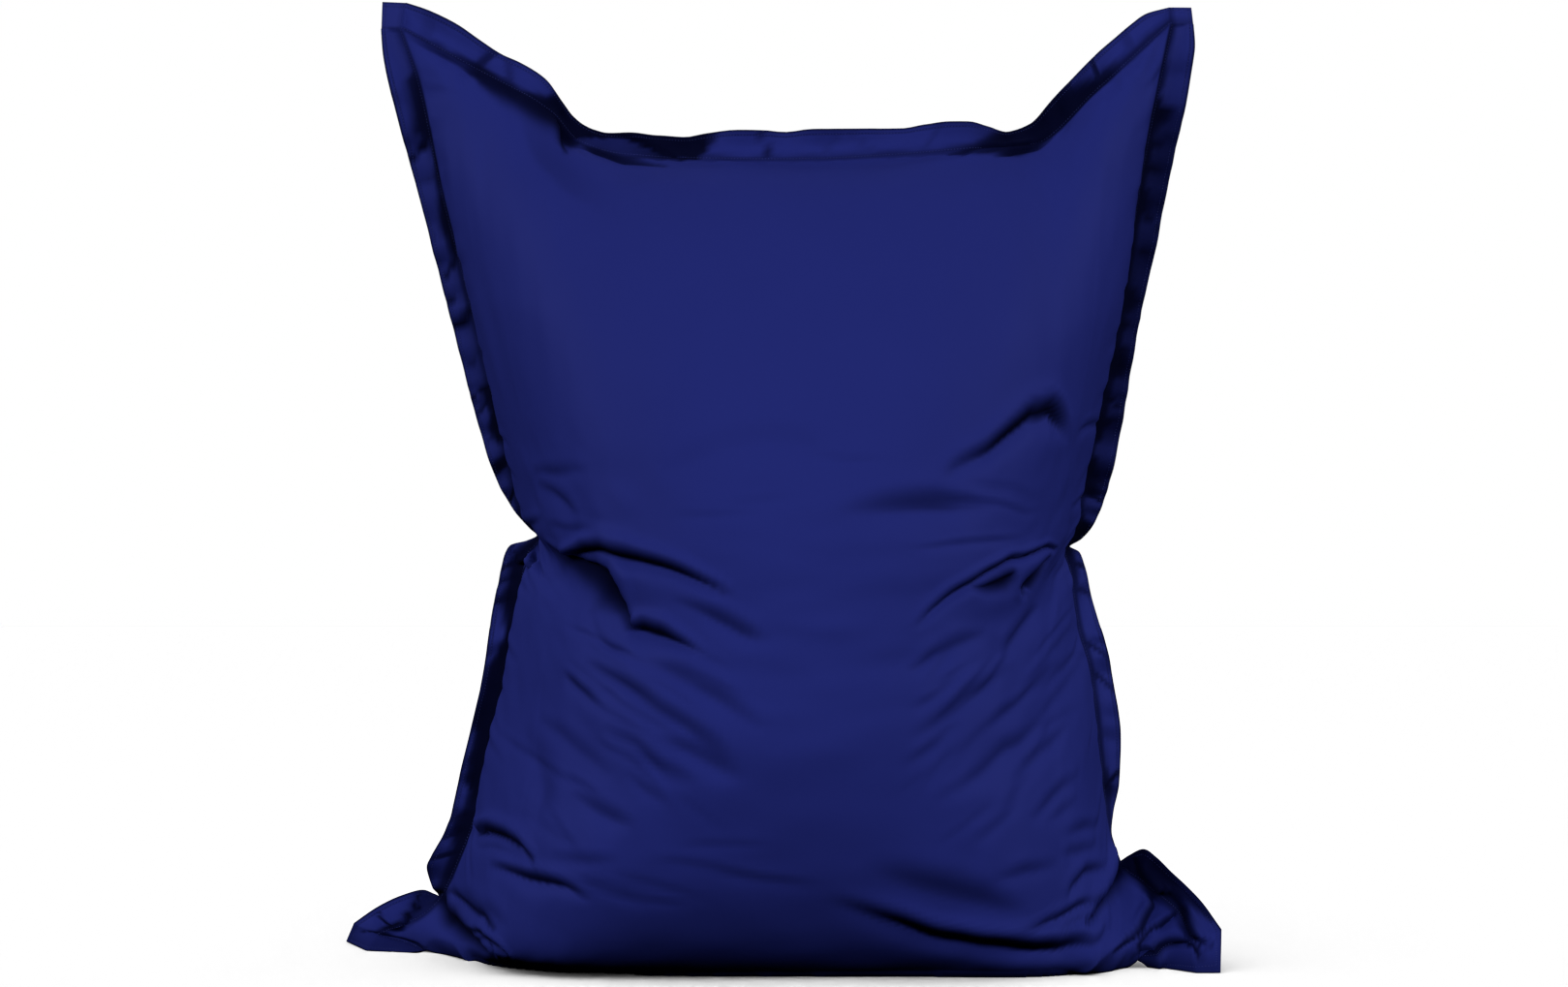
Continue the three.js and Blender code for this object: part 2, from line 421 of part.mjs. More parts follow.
const geometry = new THREE.BufferGeometry();
geometry.setAttribute('position', new THREE.BufferAttribute(new Float32Array(skin), 3));
geometry.setIndex(triangles);
// The origin is under the middle of the object's box.
geometry.computeBoundingBox();
const box = geometry.boundingBox;
geometry.translate(-(box.min.x + box.max.x) / 2, -(box.min.y + box.max.y) / 2, 0);
geometry.computeVertexNormals();
const satin = new THREE.MeshStandardMaterial({ color: 0x222a73, roughness: 0.5, metalness: 0, side: THREE.DoubleSide });
const cover = new THREE.Mesh(geometry, satin);
cover.name = 'filled_cover';

const bag = new THREE.Group();
bag.add(cover);
export default bag;
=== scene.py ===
# Giant bean bag: the looks, built round the imported CAD part.
# The cover is one sewn skin: a front and a back panel, a flat double border outside the seam, and two rows of
# top-stitching. Its shape comes from the same tables as the CAD's; a cloth simulation lets it settle, and the main
# creases are laid in one by one, each a soft trough with a ridge beside it. Their shade, and the shade in the groove
# beside the seam and on the border's folds, is also painted into the cloth's colour. Metres, +Z up, the front is -Y.
import math
import bmesh
import bpy
import numpy as np
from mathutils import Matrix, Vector


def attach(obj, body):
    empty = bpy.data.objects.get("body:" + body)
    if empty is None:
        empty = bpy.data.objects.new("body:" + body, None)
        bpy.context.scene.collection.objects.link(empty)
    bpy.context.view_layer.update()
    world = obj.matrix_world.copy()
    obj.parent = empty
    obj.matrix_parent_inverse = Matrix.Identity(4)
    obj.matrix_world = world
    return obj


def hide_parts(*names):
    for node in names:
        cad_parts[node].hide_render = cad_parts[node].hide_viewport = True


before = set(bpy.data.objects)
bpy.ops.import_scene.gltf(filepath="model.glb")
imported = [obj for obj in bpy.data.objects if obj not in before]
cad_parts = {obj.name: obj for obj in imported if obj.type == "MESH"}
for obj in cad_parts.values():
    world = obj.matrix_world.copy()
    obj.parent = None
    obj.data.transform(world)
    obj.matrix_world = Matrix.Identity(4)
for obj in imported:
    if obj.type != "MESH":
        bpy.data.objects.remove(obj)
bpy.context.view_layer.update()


# ---- driving sizes, in metres, the same as the CAD's -----------------------------------------------------------
PANEL_W, PANEL_H, BORDER = 1.300, 1.700, 0.050
SHIFT = np.array([0.016677, 0.007548, 0.0])      # from the tables' frame to the part's
CORNER_REACH = 1.05
BASE_SNAP = 0.006

# v, x, y, z, fold (degrees that the border is turned to the back)
LEFT_SEAM = np.array([
    (0.000, -594, 22, 18, 0), (0.035, -544, 20, 38, 0), (0.073, -503, 8, 72, 70), (0.118, -472, 0, 132, 40),
    (0.159, -450, 0, 190, 30), (0.251, -420, 5, 324, 38), (0.299, -402, 10, 393, 38), (0.370, -388, 20, 496, 32),
    (0.424, -376, 42, 573, 38), (0.465, -357, 62, 604, 75), (0.507, -384, 56, 637, 52), (0.546, -399, 62, 694, 42),
    (0.634, -433, 78, 823, 42), (0.731, -468, 88, 967, 36), (0.830, -506, 95, 1112, 36), (0.946, -542, 100, 1280, 20),
    (1.000, -568, 100, 1356, 0)], float)
RIGHT_SEAM = np.array([
    (0.000, 572, -205, 40, 0), (0.025, 556, -180, 72, 0), (0.073, 518, -130, 104, 10), (0.119, 485, -80, 132, 70),
    (0.152, 472, -50, 170, 75), (0.235, 458, -20, 285, 45), (0.323, 445, 0, 411, 38), (0.364, 429, 10, 468, 40),
    (0.424, 419, 28, 552, 50), (0.465, 412, 52, 585, 72), (0.510, 430, 46, 630, 48), (0.544, 438, 55, 681, 25),
    (0.628, 467, 75, 806, 28), (0.740, 504, 88, 976, 34), (0.853, 531, 98, 1148, 12), (0.960, 563, 100, 1308, 15),
    (1.000, 575, 100, 1364, 0)], float)
# u, x, y, z, fold
TOP_SEAM = np.array([
    (-1.00, -568, 100, 1356, 0), (-0.81, -465, 95, 1298, 22), (-0.58, -342, 75, 1226, 38), (-0.49, -305, 65, 1186, 55),
    (-0.37, -228, 60, 1163, 42), (0.00, 0, 60, 1156, 20), (0.45, 300, 60, 1174, 25), (0.57, 372, 66, 1181, 58),
    (0.72, 462, 85, 1259, 25), (1.00, 575, 100, 1364, 0)], float)
# u, x, y, z, front (degrees), reach
BOTTOM_SEAM = np.array([
    (-1.00, -594, 22, 18, 78, 1), (-0.93, -557, 20, 11, 79, 1), (-0.86, -520, 18, 8, 79, 0.8), (-0.76, -466, 20, 3, 75, 0.4),
    (-0.68, -422, 18, 2, 60, 0), (0.00, -8, -6, 0, 0, 0), (0.66, 392, -84, 2, 0, 0), (0.78, 454, -122, 16, 5, 0.3),
    (0.90, 513, -168, 32, 15, 0.6), (1.00, 572, -205, 40, 15, 0.8)], float)
# v, y, z, full
FRONT_LINE = np.array([
    (0.000, -6, 0, 2.2), (0.147, -255, 0, 7.0), (0.200, -325, 42, 4.5), (0.280, -375, 165, 3.0), (0.371, -385, 310, 2.3),
    (0.450, -360, 450, 2.2), (0.533, -330, 600, 2.2), (0.657, -262, 800, 2.3), (0.790, -155, 1000, 2.4),
    (0.890, -40, 1115, 2.6), (1.000, 60, 1157, 3.0)], float)
BACK_LINE = np.array([
    (0.000, -6, 0, 2.2), (0.147, 250, 0, 5.0), (0.200, 318, 42, 3.6), (0.280, 360, 165, 2.5), (0.371, 370, 310, 2.3),
    (0.450, 350, 450, 2.2), (0.533, 322, 600, 2.2), (0.657, 272, 800, 2.3), (0.790, 214, 1000, 2.4),
    (0.890, 145, 1115, 2.6), (1.000, 60, 1157, 3.0)], float)


def curve(rows, at, cols):
    """A smooth curve through a table's rows that never swings past them."""
    t, y, at = rows[:, 0], rows[:, cols], np.asarray(at, float)
    h, d = np.diff(t), np.diff(y, axis=0) / np.diff(t)[:, None]
    m = np.zeros_like(y)
    m[0], m[-1] = d[0], d[-1]
    a, b = h[:-1, None], h[1:, None]
    with np.errstate(divide="ignore", invalid="ignore"):
        g = 3 * (a + b) / ((2 * b + a) / d[:-1] + (b + 2 * a) / d[1:])
    m[1:-1] = np.where(d[:-1] * d[1:] > 0, g, 0)
    i = np.clip(np.searchsorted(t, at, side="right") - 1, 0, len(t) - 2)
    s, hh = ((at - t[i]) / h[i])[..., None], h[i][..., None]
    return ((2 * s ** 3 - 3 * s ** 2 + 1) * y[i] + (s ** 3 - 2 * s ** 2 + s) * hh * m[i]
            + (3 * s ** 2 - 2 * s ** 3) * y[i + 1] + (s ** 3 - s ** 2) * hh * m[i + 1])


PLACE = [1, 2, 3]
SEAMS = {"left": LEFT_SEAM, "right": RIGHT_SEAM, "top": TOP_SEAM, "bottom": BOTTOM_SEAM}
seam = lambda side, at: curve(SEAMS[side], at, PLACE) / 1000 + SHIFT
unit = lambda a: a / (np.linalg.norm(a, axis=-1, keepdims=True) + 1e-12)


def midway(u, v):
    """The surface that the four seams span, u across (-1 to 1) and v up (0 to 1)."""
    a = ((u + 1) / 2)[None, :, None]
    w = v[:, None, None]
    l, r, t, b = seam("left", v)[:, None], seam("right", v)[:, None], seam("top", u)[None], seam("bottom", u)[None]
    l0, l1, r0, r1 = (seam("left", [0.0]), seam("left", [1.0]), seam("right", [0.0]), seam("right", [1.0]))
    return (1 - a) * l + a * r + (1 - w) * b + w * t - ((1 - w) * ((1 - a) * l0 + a * r0) + w * ((1 - a) * l1 + a * r1))


def smooth(x):
    x = np.clip(x, 0, 1)
    return x * x * (3 - 2 * x)


def low_fill(u, v):
    """How far the filling presses a panel down to the floor beside the base, next to the feet."""
    a = np.abs(u)[None, :]
    return smooth((1 - a) / .22) * smooth((a - .3) / .25) * (smooth((.21 - v) / .14) * smooth(v / .03))[:, None]


def panel(line, u, v):
    m = midway(u, v)
    centre = midway(np.array([0.0]), v)[:, 0]
    mid = curve(line, v, [1, 2, 3])
    y, z, full = mid[:, 0] / 1000 + SHIFT[1], mid[:, 1] / 1000, mid[:, 2]
    dy, dz = (y - centre[:, 1])[:, None], (z - centre[:, 2])[:, None]
    swell = 1 - np.abs(u)[None, :] ** full[:, None]
    deep = np.clip(np.abs(dy) / 0.3, 0, 1) * 0.7
    l, r = seam("left", v)[:, None, 0], seam("right", v)[:, None, 0]
    k = (1 + np.sin(np.pi * u / 2))[None, :] / 2
    out = m.copy()
    out[..., 0] = m[..., 0] * (1 - deep) + (l * (1 - k) + r * k) * deep
    out[..., 1] += dy * swell
    out[..., 2] = (out[..., 2] + dz * swell) * (1 - low_fill(u, v))
    return out


def border_frame(side, at):
    """For stations along a seam: the border's way out of the panel, and its way through to the back."""
    at = np.asarray(at, float)
    lo, e, total = (0.0 if side in ("left", "right") else -1.0), 0.05, 0
    for w in (-1, -.5, 0, .5, 1):
        a, b = np.clip(at + (w - 1) * e, lo, 1), np.clip(at + (w + 1) * e, lo, 1)
        d = seam(side, b) - seam(side, a)
        total = total + np.where((b > a)[:, None], unit(d), 0)
    along = unit(total)
    turn = np.radians(curve(SEAMS[side], at, [4])[:, 0])[:, None]
    back, up = np.array([0., 1., 0.]), np.array([0., 0., 1.])
    if side == "bottom":
        out = np.concatenate([0 * turn, -np.sin(turn), -np.cos(turn)], 1)
        thin = np.concatenate([0 * turn, np.cos(turn), -np.sin(turn)], 1)
        return out, thin
    if side == "top":
        flat = up - along * along[:, 2:3]
    else:
        flat = np.cross(back, along) * (-1 if side == "left" else 1)
    flat[:, 1] = 0
    flat = unit(flat)
    return unit(flat * np.cos(turn) + back * np.sin(turn)), unit(back * np.cos(turn) - flat * np.sin(turn))


def flat_grid(u, v, nf):
    """The cloth's flat pattern, in the panel's own plane, border included: x across, z up."""
    k = np.arange(nf, 0, -1) * BORDER / nf
    x = np.r_[u[0] * PANEL_W / 2 - k, u * PANEL_W / 2, u[-1] * PANEL_W / 2 + k[::-1]]
    z = np.r_[v[0] * PANEL_H - k, v * PANEL_H, v[-1] * PANEL_H + k[::-1]]
    return np.stack(np.meshgrid(x, z) + [np.zeros((len(z), len(x)))], -1)[..., [0, 2, 1]]


def border_grid(inner, u, v, nf):
    """inner is the panel's grid; the same grid with nf cells of border outside it on each side."""
    nv, nu = inner.shape[:2]
    g = np.zeros((nv + 2 * nf, nu + 2 * nf, 3))
    g[nf:-nf, nf:-nf] = inner
    out = {s: border_frame(s, v if s in ("left", "right") else u)[0] for s in SEAMS}
    reach = np.clip(curve(BOTTOM_SEAM, u, [5])[:, 0], 0, 1)
    grounded = inner[0, :, 2] < BASE_SNAP
    reach = np.where(grounded, 0, reach)
    amount = np.arange(1, nf + 1) / nf
    for k, a in enumerate(amount, 1):
        g[nf:-nf, nf - k] = inner[:, 0] + out["left"] * BORDER * a
        g[nf:-nf, -nf - 1 + k] = inner[:, -1] + out["right"] * BORDER * a
        g[-nf - 1 + k, nf:-nf] = inner[-1] + out["top"] * BORDER * a
        g[nf - k, nf:-nf] = inner[0] + out["bottom"] * (BORDER * a * reach)[:, None]
    for row, rs, iv in (("bottom", 0, 0), ("top", 1, nv - 1)):
        for col, cs, ju in (("left", 0, 0), ("right", 1, nu - 1)):
            for k, a in enumerate(amount, 1):
                for l, b in enumerate(amount, 1):
                    c = min(1, CORNER_REACH / math.hypot(a, b))
                    i = nf - k if rs == 0 else nf + nv - 1 + k
                    j = nf - l if cs == 0 else nf + nu - 1 + l
                    rr = reach[ju] if rs == 0 else 1
                    g[i, j] = inner[iv, ju] + out[row][ju] * BORDER * a * c * rr + out[col][iv] * BORDER * b * c
    return g

# ---- small tools -----------------------------------------------------------------------------------------------
def bump(x, at, wide):
    return np.exp(-(((x - at) / wide) ** 2))


def ease(x):
    x = np.clip(x, 0, 1)
    return x * x * (3 - 2 * x)


def cubic(n, at):
    """Weights that read a row of n points at fractional places: four points each, smooth."""
    i = np.clip(np.floor(at).astype(int), 0, n - 2)
    t = at - i
    w = np.stack([-.5 * t + t ** 2 - .5 * t ** 3, 1 - 2.5 * t ** 2 + 1.5 * t ** 3, .5 * t + 2 * t ** 2 - 1.5 * t ** 3, -.5 * t ** 2 + .5 * t ** 3], -1)
    return np.clip(np.stack([i - 1, i, i + 1, i + 2], -1), 0, n - 1), w


def resample(grid, rows, cols):
    """grid read at fractional rows and columns, smoothly."""
    k, w = cubic(grid.shape[0], rows)
    g = (grid[k] * w[..., None, None]).sum(1)
    k, w = cubic(grid.shape[1], cols)
    return (g[:, k] * w[None, ..., None]).sum(2)


def read(grid, at):
    """grid at n fractional (row, column) places, straight between its points."""
    r, c = np.clip(at[:, 0], 0, grid.shape[0] - 1.001), np.clip(at[:, 1], 0, grid.shape[1] - 1.001)
    i, j = r.astype(int), c.astype(int)
    a, b = (r - i)[:, None], (c - j)[:, None]
    return (grid[i, j] * (1 - a) * (1 - b) + grid[i, j + 1] * (1 - a) * b + grid[i + 1, j] * a * (1 - b) + grid[i + 1, j + 1] * a * b)


def normals(grid, outward):
    """Unit normals of a grid of points, to the front (-1) or to the back (1)."""
    du, dv = np.gradient(grid, axis=1), np.gradient(grid, axis=0)
    n = unit(np.cross(du, dv))        # x across, z up: the cross product looks to the front
    return n * (1 if outward < 0 else -1)


# ---- the camera, where the photograph was taken from -------------------------------------------------------------
CAMERA = np.array([0.016677, -4.992452, 0.666])
FOCAL, MIDDLE = 3536.0, (809.5, 509.5)     # in points of the 1619 x 1019 frame


def seen(p):
    """Where the camera sees points: column and row of the frame."""
    d = p - CAMERA
    return np.stack([MIDDLE[0] + FOCAL * d[..., 0] / d[..., 1], MIDDLE[1] - FOCAL * d[..., 2] / d[..., 1]], -1)


def find(grid, px):
    """The fractional (row, column) of the grid that the camera sees at a point of the frame."""
    s = seen(grid)
    away = (normals(grid, -1) * (grid - CAMERA)).sum(-1) > 0
    hidden = np.where(away | (grid[..., 2] < .002), 1e4, 0)
    out = []
    for target in px:
        i, j = np.unravel_index(np.argmin(((s - target) ** 2).sum(-1) + hidden), s.shape[:2])
        at = np.array([i, j], float)
        for _ in range(6):
            r, c = int(np.clip(at[0], 0, s.shape[0] - 2)), int(np.clip(at[1], 0, s.shape[1] - 2))
            jac = np.stack([s[r + 1, c] - s[r, c], s[r, c + 1] - s[r, c]], -1)
            if abs(np.linalg.det(jac)) < 1e-3:
                break
            step = np.linalg.solve(jac, target - read(s, at[None])[0])
            at = np.clip(at + np.clip(step, -1.5, 1.5), 0, np.array(s.shape[:2]) - 1.001)
        out.append(at)
    return np.array(out)


# ---- creases -----------------------------------------------------------------------------------------------------
def stroke_line(grid, norm, at, deep, wide, spacing=0.004):
    """A crease's middle line on the surface: points, way along, way to its left, way out, depth and width."""
    t = np.arange(len(at), dtype=float)
    rows = np.c_[t, at, deep, wide]
    fine = curve(rows, np.linspace(0, t[-1], 12 * len(at)), [1, 2, 3, 4])
    p = read(grid, fine[:, :2])
    s = np.r_[0, np.cumsum(np.linalg.norm(np.diff(p, axis=0), axis=1))]
    n = max(3, int(s[-1] / spacing) + 1)
    k = np.linspace(0, s[-1], n)
    col = lambda a: np.stack([np.interp(k, s, a[:, i]) for i in range(a.shape[1])], -1)
    q, nr, dw = col(p), unit(col(read(norm, fine[:, :2]))), col(fine[:, 2:])
    along = unit(np.gradient(q, axis=0))
    return q, along, unit(np.cross(nr, along)), nr, dw[:, 0], dw[:, 1], s[-1] / (n - 1)


def lay(points, out_way, line, sharp, ridge, lip, shade, painted_black):
    """How far one stroke's fold moves points, and how much painted shade it gives them (0 to 1)."""
    q, along, left, nr, deep, wide, step = line
    reach = wide.max() * 3.6 + 0.004
    lo, hi = q.min(0) - reach, q.max(0) + reach
    near = np.nonzero(((points > lo) & (points < hi)).all(1))[0]
    if not len(near):
        return near, None, None
    p = points[near]
    k = np.empty(len(p), int)
    for a in range(0, len(p), 4000):
        k[a:a + 4000] = ((p[a:a + 4000, None] - q[None]) ** 2).sum(-1).argmin(1)
    r = p - q[k]
    s = (r * along[k]).sum(-1) / step
    f = np.clip(k + s, 0, len(q) - 1)
    i = np.minimum(f.astype(int), len(q) - 2)
    t = f - i
    d, w = deep[i] * (1 - t) + deep[i + 1] * t, wide[i] * (1 - t) + wide[i + 1] * t
    over = np.maximum(0, np.maximum(-(k + s), k + s - (len(q) - 1))) * step
    fade = np.exp(-(over / (0.55 * w)) ** 2)
    x = (r * left[k]).sum(-1) / w
    facing = np.clip((out_way[near] * nr[k]).sum(-1) * 3 - .5, 0, 1)
    steep = 0.62 / sharp
    trough = np.where(x < 0, np.exp(-(np.abs(x) / 1.25) ** 1.6), np.exp(-(x / steep) ** 2))
    h = d * fade * facing * (ridge * np.exp(-((x - 1.25 * steep - .55) / .75) ** 2) - trough)
    side = -d * lip * fade * facing * np.exp(-((x - steep) / (0.8 * steep)) ** 2)
    if shade is None:           # painted shade: a sharp lower edge, fading up the slope
        tone = np.where(x > 0, np.exp(-np.abs(x / (1.35 * steep + .1)) ** 3), np.exp(-(x / .30) ** 2))
    elif len(shade) == 1:       # painted shade below a lip: a sharp upper edge, fading downwards
        tone = np.where(x > 0, np.exp(-(x / .22) ** 2), np.exp(-np.abs(x / shade[0]) ** 3))
    else:
        tone = np.exp(-((x - shade[0]) / shade[1]) ** 2)
    # painted shade: how dark the colour is made, from the fold's depth or from the stroke's own setting
    strength = painted_black * np.sqrt(np.clip(d / deep.max(), 0, 1)) if painted_black else np.clip(d / 0.0130, 0, 1) ** 2
    painted_dark = fade * facing * strength * tone
    return near, nr[k] * h[:, None] + left[k] * side[:, None], painted_dark


def crease_and_painted_shade(grid, norm, strokes, where):
    """All the strokes on one sheet: the move of each of its points, and how much painted shade it gets (0 to 1)."""
    points, out_way = grid.reshape(-1, 3), norm.reshape(-1, 3)
    move, painted_dark = np.zeros_like(points), np.zeros(len(points))
    for st in strokes:
        pts = np.array(st["pts"], float)
        at = find(grid, pts[:, :2]) if where == "seen" else panel_place(grid, pts[:, :2])
        deep, wide = pts[:, 2] / 1000, pts[:, 3] / 1000
        if st.get("flip"):
            at, deep, wide = at[::-1], deep[::-1], wide[::-1]
        line = stroke_line(grid, norm, at, deep, wide)
        near, m, d = lay(points, out_way, line, st.get("sharp", 1.0), st.get("ridge", .45), st.get("lip", .35), st.get("shade"), st.get("painted_black"))
        if m is not None:
            move[near] += m
            painted_dark[near] = np.maximum(painted_dark[near], d)
    return move.reshape(grid.shape), painted_dark.reshape(grid.shape[:2])


def panel_place(grid, uv):
    """Fractional (row, column) of panel places u (-1 to 1) and v (0 to 1) on a grid that has a border."""
    return np.c_[EDGE_CELLS + np.interp(uv[:, 1], GRID["v"], np.arange(len(GRID["v"]))), EDGE_CELLS + np.interp(uv[:, 0], GRID["u"], np.arange(len(GRID["u"])))]
